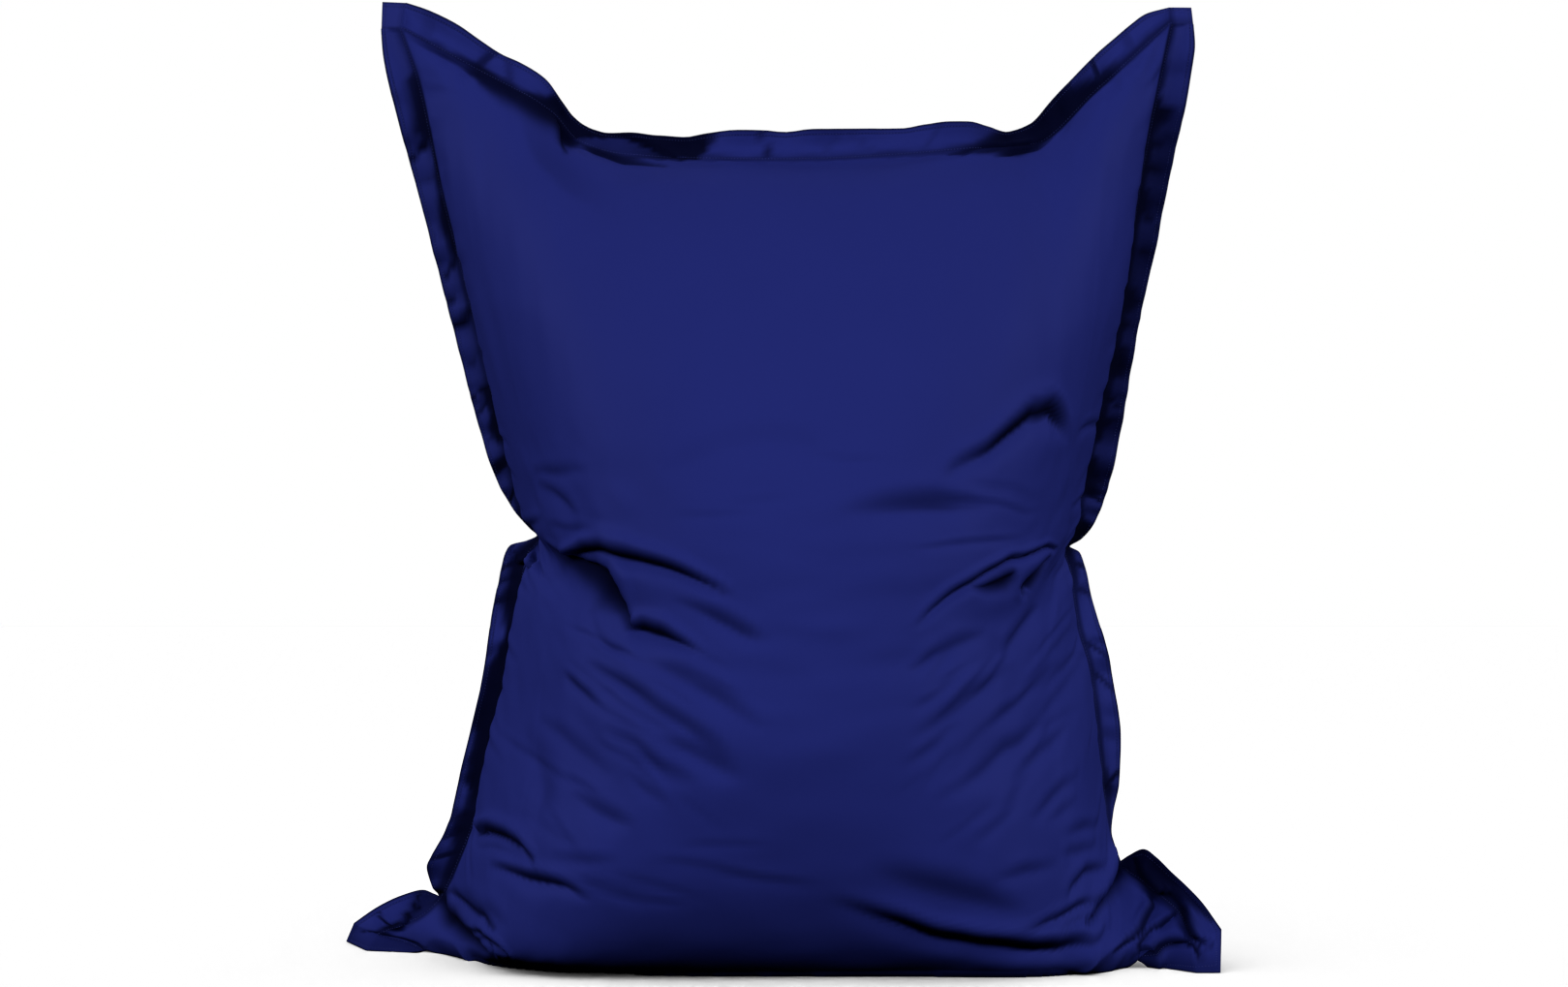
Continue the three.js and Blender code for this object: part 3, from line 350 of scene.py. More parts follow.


# ---- the creases, one by one ---------------------------------------------------------------------------------------
# Each point: column and row where the camera sees it, depth and width of the dark slope in mm; the slope is real, and
# its darkness is also painted into the colour. The slope and the ridge lie to the left of the way from the first point
# to the last; with UNDER the painted shade lies on the other side of the line, below a lip. A stroke may set its own
# spread of painted shade, and how black that shade is painted.
UNDER = (1.45,)
FRONT_CREASES = [
    {"at": "left slope, f", "sharp": .8, "ridge": .3, "pts": [(681, 764, 1, 9), (709, 775, 4, 12), (736, 791, 4, 12), (758, 805, 1, 9)]},
    {"at": "left slope, g", "sharp": .8, "ridge": .3, "pts": [(627, 753, 1, 9), (654, 769, 3, 11), (676, 791, 3, 11), (698, 813, 1, 9)]},
    {"at": "left slope, h", "sharp": .8, "ridge": .3, "pts": [(648, 799, 1, 8), (665, 816, 3, 10), (684, 829, 1, 8)]},
    {"at": "left slope, hollow", "sharp": .6, "ridge": .2, "pts": [(540, 762, 1, 16), (556, 790, 4, 20), (560, 822, 4, 20), (552, 848, 1, 14)]},
    {"at": "left slope, low", "sharp": .8, "ridge": .3, "pts": [(572, 886, 1, 8), (602, 889, 3, 9), (634, 890, 1, 8)]},
    {"at": "right slope, f", "sharp": .8, "ridge": .3, "pts": [(1046, 808, 1, 8), (1066, 786, 4, 11), (1083, 771, 4, 11), (1102, 754, 1, 8)]},
    {"at": "right slope, g", "sharp": .8, "ridge": .3, "pts": [(1066, 846, 1, 8), (1089, 823, 4, 11), (1114, 800, 1, 8)]},
    {"at": "right slope, h", "sharp": .8, "ridge": .3, "pts": [(1023, 750, 1, 8), (1040, 735, 4, 10), (1068, 707, 1, 8)]},
    {"at": "right slope, i", "sharp": .8, "ridge": .3, "pts": [(1084, 849, 1, 7), (1098, 838, 3, 9), (1112, 826, 1, 7)]},
    {"at": "low right, faint", "sharp": .8, "ridge": .3, "pts": [(1030, 908, 1, 8), (1060, 900, 4, 11), (1090, 893, 1, 8)]},
    {"at": "left waist, arc", "sharp": 1.15, "ridge": .5, "pts": [(582, 573, 5, 6), (594, 569, 10, 10), (607, 566, 14, 13), (623, 566, 15, 14), (639, 571, 15, 14), (656, 576, 14, 13), (674, 580, 13, 12), (694, 586, 12, 11), (715, 595, 10, 9), (735, 605, 7, 7), (751, 617, 2, 4)]},
    {"at": "left waist, wedge", "sharp": 1.5, "ridge": .35, "lip": .5, "shade": (1.9,), "painted_black": 1, "pts": [(566, 562, 4, 8), (580, 572, 9, 11), (597, 579, 13, 15), (612, 583, 16, 20), (622, 588, 18, 24), (633, 603, 18, 22), (643, 619, 14, 14), (649, 632, 7, 8), (653, 646, 5, 6)]},
    {"at": "left waist, second arc", "sharp": 1.2, "ridge": .4, "pts": [(653, 648, 9, 9), (664, 648, 13, 13), (680, 652, 13, 13), (696, 659, 10, 10), (711, 667, 6, 7), (720, 674, 2, 4)]},
    {"at": "left slope, soft", "sharp": .8, "ridge": .3, "pts": [(698, 621, 1, 9), (720, 629, 4, 11), (745, 641, 6, 12), (765, 652, 6, 12), (787, 665, 1, 9)]},
    {"at": "left waist, petal", "sharp": 1, "ridge": .6, "pts": [(555, 559, 3, 4), (556, 570, 8, 7), (557, 582, 6, 6), (559, 596, 1, 4)]},
    {"at": "left notch, turned fold", "sharp": 1.2, "ridge": .6, "pts": [(531, 564, 4, 5), (532, 574, 9, 6), (536, 583, 9, 6), (544, 584, 9, 6), (549, 575, 8, 5), (551, 565, 3, 4)]},
    {"at": "left waist, under the wedge", "sharp": .8, "ridge": .3, "pts": [(609, 634, 1, 8), (617, 655, 3, 9), (631, 669, 4, 9), (650, 678, 1, 8)]},
    {"at": "left slope, a", "sharp": .9, "ridge": .4, "pts": [(581, 696, 1, 8), (592, 706, 6, 11), (604, 716, 6, 11), (622, 730, 1, 8)]},
    {"at": "left slope, b", "sharp": .85, "ridge": .35, "pts": [(604, 686, 1, 10), (630, 699, 5, 13), (656, 714, 6, 13), (679, 733, 5, 14), (712, 753, 5, 15), (738, 776, 4, 13), (758, 802, 1, 9)]},
    {"at": "left slope, c", "sharp": .8, "ridge": .3, "pts": [(662, 680, 1, 10), (698, 697, 4, 14), (733, 716, 5, 15), (764, 737, 3, 12), (786, 753, 1, 9)]},
    {"at": "left slope, d", "sharp": .8, "ridge": .3, "pts": [(558, 745, 1, 10), (580, 760, 3, 13), (606, 782, 3, 13), (626, 800, 1, 10)]},
    {"at": "left slope, e", "sharp": .8, "ridge": .3, "pts": [(592, 821, 1, 9), (612, 834, 4, 12), (632, 845, 4, 12), (652, 853, 1, 9)]},
    {"at": "left chest, a", "sharp": .8, "ridge": .3, "pts": [(552, 489, 1, 9), (575, 490, 3, 12), (604, 487, 1, 10)]},
    {"at": "left chest, b", "sharp": .8, "ridge": .3, "pts": [(556, 503, 1, 9), (570, 510, 4, 12), (583, 519, 4, 12), (596, 532, 1, 9)]},
    {"at": "left foot, arc", "sharp": 1.1, "ridge": .5, "pts": [(487, 851, 7, 8), (506, 857, 13, 12), (524, 865, 13, 12), (539, 876, 11, 10), (549, 887, 7, 7), (553, 895, 1, 4)]},
    {"at": "left foot, between", "sharp": .9, "ridge": .3, "pts": [(488, 868, 2, 7), (508, 874, 4, 8), (530, 883, 3, 8), (541, 892, 1, 6)]},
    {"at": "left foot, second", "sharp": 1.1, "ridge": .45, "pts": [(506, 893, 2, 7), (529, 900, 9, 10), (551, 907, 11, 11), (573, 912, 10, 10), (594, 920, 6, 8), (609, 928, 1, 4)]},
    {"at": "left foot, soft", "sharp": .7, "ridge": .3, "pts": [(468, 930, 2, 10), (486, 936, 5, 14), (506, 945, 4, 13), (522, 956, 1, 9)]},
    {"at": "left foot, main", "sharp": 1.2, "ridge": .4, "shade": (-.15, 1.2), "painted_black": 1, "pts": [(451, 922, 8, 8), (461, 937, 14, 11), (471, 948, 16, 12), (481, 960, 15, 12), (492, 972, 9, 10), (502, 982, 3, 6)]},
    {"at": "left foot, gathers", "sharp": 1.1, "ridge": .6, "painted_black": .9, "pts": [(435, 922, 3, 4), (428, 934, 6, 5), (418, 946, 6, 5), (404, 957, 6, 5), (392, 962, 3, 4)]},
    {"at": "left foot, gathers, second", "sharp": 1.1, "ridge": .6, "painted_black": .9, "pts": [(391, 943, 3, 4), (397, 953, 6, 5), (404, 960, 6, 5), (413, 959, 6, 5), (424, 948, 5, 5), (436, 936, 3, 4)]},
    {"at": "left foot, low line", "sharp": 1.1, "ridge": .5, "painted_black": .85, "pts": [(374, 963, 2, 4), (390, 964, 4, 4), (408, 967, 4, 4), (425, 973, 4, 4), (441, 979, 2, 3)]},
    {"at": "left foot, beside the notch", "sharp": .9, "ridge": .3, "painted_black": .6, "pts": [(462, 922, 2, 8), (478, 932, 5, 10), (496, 946, 5, 10), (510, 960, 1, 7)]},
    {"at": "left foot, fan", "sharp": 1.1, "ridge": .6, "painted_black": .95, "pts": [(484, 956, 3, 5), (498, 965, 7, 7), (513, 977, 8, 7), (524, 987, 5, 6), (531, 994, 2, 4)]},
    {"at": "left foot, fan, small", "sharp": 1.1, "ridge": .5, "pts": [(489, 966, 2, 5), (500, 972, 6, 6), (508, 982, 5, 6), (512, 990, 1, 4)]},
    {"at": "right chest, hook", "sharp": .85, "ridge": .4, "pts": [(978, 494, 1, 9), (988, 482, 4, 11), (1002, 474, 6, 12), (1018, 466, 9, 12), (1036, 453, 12, 13), (1054, 439, 13, 14), (1070, 428, 14, 16), (1084, 425, 14, 18), (1095, 436, 10, 16), (1101, 452, 2, 10)]},
    {"at": "right chest, short", "sharp": 1, "ridge": .3, "pts": [(1113, 446, 1, 5), (1122, 440, 5, 7), (1132, 436, 3, 6)]},
    {"at": "right chest, level", "sharp": .75, "ridge": .25, "pts": [(872, 530, 1, 12), (900, 526, 4, 16), (932, 523, 6, 19), (966, 522, 7, 20), (1000, 524, 4, 16), (1022, 526, 1, 10)]},
    {"at": "chest, faint", "sharp": .7, "ridge": .2, "pts": [(690, 487, 1, 16), (720, 472, 2, 20), (760, 458, 2, 22), (800, 452, 2, 20), (832, 458, 2, 18), (852, 472, 1, 14)]},
    {"at": "right waist, long", "sharp": 1.3, "ridge": .35, "pts": [(947, 646, 2, 4), (965, 627, 7, 7), (982, 613, 9, 8), (1000, 602, 10, 8), (1026, 586, 11, 7), (1052, 574, 10, 6), (1078, 565, 8, 5), (1091, 567, 4, 4)]},
    {"at": "right waist, pocket", "sharp": 1.2, "ridge": .2, "shade": (-.1, .8), "pts": [(1004, 607, 3, 5), (1016, 606, 8, 9), (1029, 602, 11, 13), (1040, 597, 12, 15), (1046, 594, 11, 12)]},
    {"at": "right waist, second pocket", "sharp": 1.5, "ridge": .2, "lip": .5, "shade": UNDER, "pts": [(1057, 617, 5, 7), (1056, 606, 12, 12), (1063, 596, 14, 14), (1074, 586, 11, 11), (1084, 576, 4, 6)]},
    {"at": "right slope, a", "sharp": .8, "ridge": .3, "pts": [(946, 692, 1, 8), (964, 677, 4, 11), (990, 665, 4, 12), (1016, 655, 1, 9)]},
    {"at": "right slope, b", "sharp": .8, "ridge": .3, "pts": [(1036, 676, 1, 8), (1046, 661, 5, 12), (1062, 640, 4, 12), (1072, 628, 1, 8)]},
    {"at": "right slope, c", "sharp": .8, "ridge": .3, "pts": [(946, 762, 1, 9), (975, 742, 4, 13), (1010, 715, 5, 14), (1042, 692, 1, 10)]},
    {"at": "right slope, d", "sharp": .8, "ridge": .3, "pts": [(990, 820, 1, 9), (1014, 799, 3, 13), (1043, 771, 4, 13), (1072, 747, 1, 9)]},
    {"at": "right slope, e", "sharp": .8, "ridge": .3, "pts": [(1052, 722, 1, 8), (1072, 703, 3, 11), (1090, 684, 1, 8)]},
    {"at": "low right, soft", "sharp": .7, "ridge": .3, "pts": [(900, 902, 1, 18), (940, 914, 5, 22), (985, 925, 6, 22), (1025, 936, 5, 18), (1058, 942, 1, 12)]},
    {"at": "low right, thin", "sharp": 1.1, "ridge": .4, "pts": [(1048, 962, 1, 5), (1078, 953, 6, 7), (1108, 938, 7, 8), (1136, 925, 4, 6)]},
    {"at": "low right, thin, second", "sharp": 1.1, "ridge": .4, "pts": [(1088, 961, 1, 4), (1108, 953, 4, 6), (1130, 941, 3, 5)]},
    {"at": "low right, long", "sharp": .9, "ridge": .6, "pts": [(862, 932, 1, 12), (894, 943, 5, 14), (929, 954, 10, 15), (960, 964, 14, 15), (1000, 972, 15, 15), (1043, 978, 15, 15), (1077, 979, 14, 14), (1114, 973, 9, 12), (1143, 960, 3, 9)]},
    {"at": "right notch", "sharp": 1.5, "ridge": .5, "lip": .5, "shade": (.95,), "painted_black": 1, "pts": [(1122, 953, 4, 5), (1132, 939, 10, 8), (1142, 922, 16, 13), (1150, 906, 20, 17), (1156, 892, 16, 15)]},
    {"at": "right notch, arc", "sharp": 1.0, "ridge": .4, "pts": [(1103, 930, 1, 6), (1107, 915, 5, 9), (1120, 901, 7, 10), (1142, 892, 3, 7)]},
    {"at": "right hem, a", "sharp": .8, "ridge": .3, "pts": [(1096, 884, 1, 8), (1112, 879, 4, 10), (1133, 871, 2, 8)]},
    {"at": "right hem, b", "sharp": .8, "ridge": .3, "pts": [(1100, 862, 1, 8), (1118, 855, 4, 10), (1136, 849, 2, 8)]},
    {"at": "right foot, gathers", "sharp": 1.2, "ridge": .6, "painted_black": 1, "shade": (.1, .75), "pts": [(1172, 886, 6, 5), (1176, 900, 9, 7), (1182, 912, 10, 8), (1191, 922, 10, 8), (1202, 924, 10, 8), (1213, 927, 10, 8), (1221, 937, 10, 8), (1223, 950, 9, 7), (1228, 963, 9, 7), (1240, 972, 7, 6), (1252, 979, 2, 4)]},
    {"at": "right foot, sweep", "sharp": 1, "ridge": .5, "painted_black": .75, "pts": [(1150, 984, 1, 6), (1166, 972, 5, 8), (1181, 955, 6, 8), (1189, 936, 6, 7), (1187, 920, 3, 6)]},
    {"at": "right foot, second sweep", "sharp": 1, "ridge": .5, "painted_black": .7, "pts": [(1160, 990, 1, 5), (1180, 972, 5, 7), (1200, 954, 6, 7), (1216, 942, 2, 5)]},
    {"at": "right foot, hollow", "sharp": .9, "ridge": .3, "painted_black": .85, "shade": (0, .9), "pts": [(1178, 984, 2, 6), (1196, 978, 6, 9), (1214, 972, 6, 9), (1226, 970, 2, 6)]},
    {"at": "right foot, hem", "sharp": .9, "ridge": .3, "painted_black": .8, "shade": (0, .9), "pts": [(1190, 890, 2, 6), (1204, 904, 5, 9), (1219, 919, 6, 9), (1235, 935, 5, 8), (1250, 950, 2, 5)]},
    {"at": "right foot, low hem", "sharp": 1, "ridge": .5, "painted_black": .85, "pts": [(1212, 973, 2, 4), (1230, 977, 5, 5), (1238, 986, 5, 5), (1240, 997, 2, 4)]},
    {"at": "top border, turned", "sharp": 1.1, "ridge": .6, "painted_black": .9, "pts": [(640, 141, 2, 5), (656, 147, 6, 7), (674, 155, 7, 8), (692, 162, 6, 7), (708, 166, 2, 5)]},
    {"at": "top border, right", "sharp": 1.0, "ridge": .5, "painted_black": .75, "pts": [(980, 160, 1, 5), (1005, 155, 4, 6), (1030, 152, 6, 7), (1055, 150, 6, 7), (1072, 150, 2, 5)]},
    {"at": "left ear, pinch", "sharp": .9, "ridge": .3, "painted_black": 1, "pts": [(586, 158, 1, 8), (583, 146, 8, 12), (583, 134, 12, 14), (578, 120, 8, 12), (570, 108, 3, 9)]},
    {"at": "left ear, slope", "sharp": .6, "ridge": .2, "pts": [(536, 106, 1, 16), (546, 138, 4, 22), (562, 168, 5, 26), (592, 196, 4, 26), (640, 224, 1, 22)]},
    {"at": "left crown, hem", "sharp": .8, "ridge": .2, "painted_black": .7, "pts": [(600, 152, 1, 8), (622, 158, 5, 12), (650, 166, 5, 12), (685, 172, 1, 8)]},
    {"at": "left ear, under the seam", "sharp": .9, "ridge": .2, "pts": [(424, 40, 1, 5), (446, 52, 5, 8), (470, 64, 5, 8), (494, 78, 3, 8), (510, 98, 1, 8)]},
    {"at": "right ear, pinch", "sharp": .8, "ridge": .3, "painted_black": .8, "pts": [(1030, 162, 1, 8), (1048, 156, 7, 11), (1066, 150, 8, 11), (1082, 142, 4, 8)]},
]


def fine_lines(seed, count, box, slope, long):
    """Small soft wrinkles beside the listed ones: picture box, their slope, their length in the picture."""
    r = np.random.default_rng(seed)
    out = []
    for _ in range(count):
        x, y, size = r.uniform(box[0], box[2]), r.uniform(box[1], box[3]), r.uniform(*long)
        a = slope + r.normal() * .16
        bend, deep, wide = r.normal() * .10, r.uniform(.9, 2.3), r.uniform(5, 9)
        pts = []
        for k in (-.5, -.2, .15, .5):
            pts.append((x + size * k * math.cos(a), y + size * (k * math.sin(a) + bend * (.25 - k * k)), deep * (1 - (2 * k) ** 2) + .15, wide))
        out.append({"sharp": .8, "ridge": .4, "lip": .1, "pts": pts})
    return out


FRONT_CREASES += fine_lines(31, 22, (545, 660, 740, 860), .66, (40, 110))
FRONT_CREASES += fine_lines(32, 24, (945, 650, 1105, 850), -.80, (40, 105))
FRONT_CREASES += fine_lines(33, 7, (620, 860, 860, 930), .16, (60, 120))
FRONT_CREASES += fine_lines(34, 7, (600, 470, 1060, 560), .05, (60, 130))
# The back isn't in the photograph. Its creases are of the same kind, and start where the seams are pinched: u across
# (-1 is the left seam seen from the front), v up, depth, width.
BACK_CREASES = [
    {"at": "right waist, arc", "sharp": 1.1, "ridge": .5, "pts": [(.95, .478, 5, 8), (.84, .492, 13, 13), (.70, .504, 15, 15), (.54, .508, 13, 14), (.38, .500, 9, 11), (.24, .484, 2, 6)]},
    {"at": "right waist, under", "sharp": 1.3, "ridge": .4, "shade": UNDER, "pts": [(.95, .452, 4, 8), (.82, .450, 12, 15), (.70, .452, 15, 18), (.60, .448, 9, 11), (.50, .438, 2, 6)]},
    {"at": "right slope", "sharp": .8, "ridge": .3, "pts": [(.80, .405, 1, 9), (.64, .398, 5, 13), (.46, .382, 5, 14), (.30, .360, 1, 9)]},
    {"at": "left waist, arc", "sharp": 1.1, "ridge": .5, "pts": [(-.18, .470, 2, 6), (-.32, .484, 9, 11), (-.48, .494, 12, 13), (-.64, .492, 14, 14), (-.80, .484, 12, 12), (-.94, .474, 5, 8)]},
    {"at": "left waist, second", "sharp": 1.1, "ridge": .4, "pts": [(-.34, .436, 2, 6), (-.48, .448, 10, 11), (-.62, .456, 12, 13), (-.76, .456, 8, 10), (-.86, .452, 3, 7)]},
    {"at": "left slope, a", "sharp": .8, "ridge": .3, "pts": [(-.26, .372, 1, 9), (-.42, .392, 5, 14), (-.60, .404, 5, 14), (-.76, .408, 1, 9)]},
    {"at": "left slope, b", "sharp": .8, "ridge": .3, "pts": [(-.20, .322, 1, 9), (-.36, .338, 4, 14), (-.54, .348, 4, 14), (-.70, .348, 1, 9)]},
    {"at": "middle, faint", "sharp": .7, "ridge": .2, "pts": [(-.22, .560, 1, 16), (-.04, .570, 3, 20), (.16, .566, 2, 18), (.30, .556, 1, 14)]},
    {"at": "left back, hook", "sharp": .9, "ridge": .4, "pts": [(-.40, .596, 1, 8), (-.52, .616, 7, 12), (-.64, .634, 8, 12), (-.74, .632, 2, 8)]},
    {"at": "left foot, arc", "sharp": 1.1, "ridge": .5, "pts": [(-.48, .196, 2, 6), (-.60, .206, 9, 11), (-.74, .198, 12, 12), (-.88, .176, 6, 9)]},
    {"at": "left foot, second", "sharp": 1.0, "ridge": .45, "pts": [(-.44, .158, 2, 6), (-.58, .166, 8, 11), (-.72, .156, 9, 11), (-.84, .138, 3, 8)]},
    {"at": "left foot, main", "sharp": 1.2, "ridge": .4, "shade": (-.15, 1.2), "painted_black": 1, "pts": [(451, 922, 8, 8), (461, 937, 14, 11), (471, 948, 16, 12), (481, 960, 15, 12), (492, 972, 9, 10), (502, 982, 3, 6)]},
    {"at": "left foot, gathers", "sharp": 1.1, "ridge": .6, "painted_black": .9, "pts": [(435, 922, 3, 4), (428, 934, 6, 5), (418, 946, 6, 5), (404, 957, 6, 5), (392, 962, 3, 4)]},
    {"at": "left foot, gathers, second", "sharp": 1.1, "ridge": .6, "painted_black": .9, "pts": [(391, 943, 3, 4), (397, 953, 6, 5), (404, 960, 6, 5), (413, 959, 6, 5), (424, 948, 5, 5), (436, 936, 3, 4)]},
    {"at": "left foot, low line", "sharp": 1.1, "ridge": .5, "painted_black": .85, "pts": [(374, 963, 2, 4), (390, 964, 4, 4), (408, 967, 4, 4), (425, 973, 4, 4), (441, 979, 2, 3)]},
    {"at": "left foot, beside the notch", "sharp": .9, "ridge": .3, "painted_black": .6, "pts": [(462, 922, 2, 8), (478, 932, 5, 10), (496, 946, 5, 10), (510, 960, 1, 7)]},
    {"at": "right foot, arc", "sharp": 1.1, "ridge": .5, "pts": [(.90, .170, 6, 9), (.76, .190, 12, 13), (.60, .196, 11, 12), (.44, .186, 2, 7)]},
    {"at": "right foot, second", "sharp": 1.0, "ridge": .45, "pts": [(.84, .132, 3, 8), (.70, .150, 9, 12), (.54, .156, 8, 11), (.40, .150, 1, 7)]},
    {"at": "right foot, main", "sharp": 1.2, "ridge": .5, "pts": [(.99, .116, 5, 8), (.90, .104, 13, 13), (.78, .088, 12, 13), (.66, .072, 4, 8)]},
    {"at": "top border, turned", "sharp": 1.1, "ridge": .6, "painted_black": .9, "pts": [(640, 141, 2, 5), (656, 147, 6, 7), (674, 155, 7, 8), (692, 162, 6, 7), (708, 166, 2, 5)]},
    {"at": "top border, right", "sharp": 1.0, "ridge": .5, "painted_black": .75, "pts": [(980, 160, 1, 5), (1005, 155, 4, 6), (1030, 152, 6, 7), (1055, 150, 6, 7), (1072, 150, 2, 5)]},
    {"at": "left ear, pinch", "sharp": .9, "ridge": .3, "painted_black": 1, "pts": [(-.52, .90, 1, 10), (-.51, .94, 8, 13), (-.49, .975, 12, 14), (-.48, .995, 6, 10)]},
    {"at": "right ear, pinch", "sharp": .8, "ridge": .3, "pts": [(.60, .90, 1, 10), (.585, .94, 8, 13), (.575, .975, 11, 14), (.57, .995, 6, 10)]},
    {"at": "left ear, slope", "sharp": .6, "ridge": .2, "pts": [(-.40, .80, 1, 20), (-.56, .85, 4, 26), (-.68, .91, 5, 26), (-.76, .96, 1, 18)]},
    {"at": "right ear, slope", "sharp": .6, "ridge": .2, "pts": [(.76, .96, 1, 18), (.70, .90, 5, 26), (.56, .84, 4, 26), (.42, .79, 1, 20)]},
]

# ---- the sheet: one grid for the front panel and its border, one for the back ----------------------------------------
NU, NV, NF = 104, 136, 4                 # cells of the cloth that is simulated
FINE = 2                                  # the finished front has this many times more
EDGE = np.array([0, 3, 8, 16, 25, 34, 39.5, 42, 44.5, 48.5, 50]) / 1000    # stations across the border
EDGE_CELLS = len(EDGE) - 1
GRID = {}                                 # the panel's rows and columns of the sheet that is being worked on


def spread(n, at, dense):
    """n + 1 places from the first to the last of "at", closer together where the creases need it."""
    t = np.linspace(at[0], at[-1], 4000)
    w = np.interp(t, at, dense)
    s = np.r_[0, np.cumsum((w[1:] + w[:-1]) / 2)]
    return np.interp(np.linspace(0, s[-1], n + 1), s, t)


THICK = np.array([1.2, 2.3, 3.2, 3.4, 3.4, 3.2, 2.5, 1.5, 2.4, 2.4, 1.2]) / 1000

# How the side seams draw in: beside them the panels bulge out past them. v, then mm on the left and on the right.
BULGE = np.array([
    (0.00, 0, 0), (0.08, 2, 2), (0.14, 8, 3), (0.20, 13, 3), (0.30, 15, 3), (0.38, 11, 4), (0.44, 5, 4), (0.465, 3, 3),
    (0.51, 4, 5), (0.56, 6, 8), (0.65, 6, 8), (0.75, 6, 8), (0.85, 5, 8), (0.93, 3, 5), (1.00, 0, 0)], float)

# Where the camera sees the border's outer edge: place along the seam, column, row.
EDGE_LEFT = np.array([
    (0.000, 366, 953), (0.020, 391, 936), (0.035, 414, 925), (0.050, 436, 919), (0.062, 447, 923), (0.073, 453, 926),
    (0.090, 444, 908), (0.104, 441, 895), (0.118, 445, 885), (0.140, 457, 864), (0.159, 465, 845), (0.180, 470, 824),
    (0.200, 474.5, 803), (0.251, 487, 750), (0.299, 498, 702), (0.340, 504, 662), (0.370, 508.5, 630), (0.400, 515, 600),
    (0.424, 521, 573), (0.440, 527, 563), (0.452, 543, 559), (0.465, 555, 553), (0.485, 547, 545), (0.507, 536, 533),
    (0.546, 514, 498), (0.590, 498, 452), (0.634, 485.5, 407), (0.680, 473.5, 360), (0.731, 460, 308), (0.780, 447, 258),
    (0.830, 434, 207), (0.880, 420, 157), (0.920, 409, 116), (0.946, 402.5, 90), (0.965, 398, 70), (0.980, 395.5, 54),
    (1.000, 394, 31)], float)
EDGE_RIGHT = np.array([
    (0.000, 1261, 960), (0.020, 1241, 932), (0.035, 1225, 915), (0.050, 1210, 901), (0.073, 1192, 884), (0.085, 1181, 877),
    (0.100, 1166, 884), (0.112, 1157, 890), (0.124, 1155, 886), (0.140, 1150, 872), (0.159, 1146.5, 857), (0.180, 1149, 838),
    (0.200, 1154, 815), (0.251, 1157, 762), (0.299, 1150.5, 712), (0.340, 1143, 671), (0.370, 1134, 641), (0.400, 1125, 608),
    (0.424, 1120, 584), (0.445, 1114, 570), (0.465, 1104, 564), (0.485, 1117, 556), (0.507, 1129, 541), (0.546, 1144.5, 502),
    (0.590, 1155, 457), (0.634, 1163, 411), (0.680, 1171, 362), (0.731, 1181, 309), (0.780, 1193, 258), (0.830, 1203, 206),
    (0.880, 1214, 154), (0.920, 1224, 110), (0.946, 1229, 82), (0.965, 1232, 62), (0.980, 1233.5, 47), (1.000, 1232, 26)], float)
EDGE_TOP = np.array([
    (-1.00, 420, 3.2), (-0.96, 437, 8.6), (-0.92, 455, 16.2), (-0.88, 471, 24.3), (-0.81, 499, 44), (-0.76, 519, 56.5),
    (-0.72, 534, 63), (-0.68, 549, 71), (-0.64, 564, 82.5), (-0.58, 580, 104.5), (-0.53, 592, 120.5), (-0.49, 604, 129.5),
    (-0.43, 627, 137.3), (-0.37, 654, 137.4), (-0.31, 680, 139.7), (-0.25, 704, 141.9), (-0.19, 728, 137.6), (-0.12, 760, 134.2),
    (-0.05, 788, 134.7), (0.00, 812, 136), (0.05, 836, 133.3), (0.12, 866, 133), (0.26, 932, 132.6), (0.31, 956, 128.1), (0.37, 980, 125.3),
    (0.41, 1000, 125.8), (0.45, 1018, 130.5), (0.50, 1040, 135.9), (0.57, 1064, 127.5), (0.64, 1087, 102), (0.72, 1117, 71), (0.78, 1135, 53), (0.84, 1152, 38.5),
    (0.90, 1168, 25), (0.95, 1184, 14), (1.00, 1206, 8)], float)
EDGE_BOTTOM = np.array([        # on the floor, and how far the border shows there (the rest is under the bag)
    (-1.00, 378, 981, 1), (-0.96, 393, 981.5, 1), (-0.92, 411, 982, 1), (-0.89, 426, 982.5, .8), (-0.86, 438, 984, 0),
    (0.84, 1168, 992, 0), (0.865, 1175, 993, .3), (0.90, 1187, 995, .9), (0.95, 1209, 1000, 1),
    (1.00, 1235, 1004, 1)], float)
TIPS = {"left top": (395, 2, 54), "right top": (1230, 8, 52), "left bottom": (358, 972, 0), "right bottom": (1260, 1004, 0)}


def at_depth(px, y):
    """The points that the camera sees at places of the frame, at the given y."""
    d = y - CAMERA[1]
    return np.stack([CAMERA[0] + (px[..., 0] - MIDDLE[0]) * d / FOCAL, y, CAMERA[2] - (px[..., 1] - MIDDLE[1]) * d / FOCAL], -1)


def on_floor(px, z=.0012):
    d = (CAMERA[2] - z) * FOCAL / (px[..., 1] - MIDDLE[1])
    return np.stack([CAMERA[0] + (px[..., 0] - MIDDLE[0]) * d / FOCAL, d + CAMERA[1], np.zeros_like(d) + z], -1)


def outer_edge(side, at, line):
    """The border's outer edge for the seam points "line": turned back so far that its width is the cloth's."""
    if side == "bottom":
        t = curve(EDGE_BOTTOM, at, [1, 2, 3])
        reach = np.where(line[:, 2] < BASE_SNAP * .5, 0, np.clip(t[:, 2], 0, 1))
        return line + (on_floor(t[:, :2]) - line) * reach[:, None]
    px = curve({"left": EDGE_LEFT, "right": EDGE_RIGHT, "top": EDGE_TOP}[side], at, [1, 2])
    y = line[:, 1] + .03
    for _ in range(4):
        e = at_depth(px, y)
        flat = np.hypot(e[:, 0] - line[:, 0], e[:, 2] - line[:, 2])
        y = line[:, 1] + np.sqrt(np.maximum(BORDER ** 2 - flat ** 2, .006 ** 2))
    return at_depth(px, y)


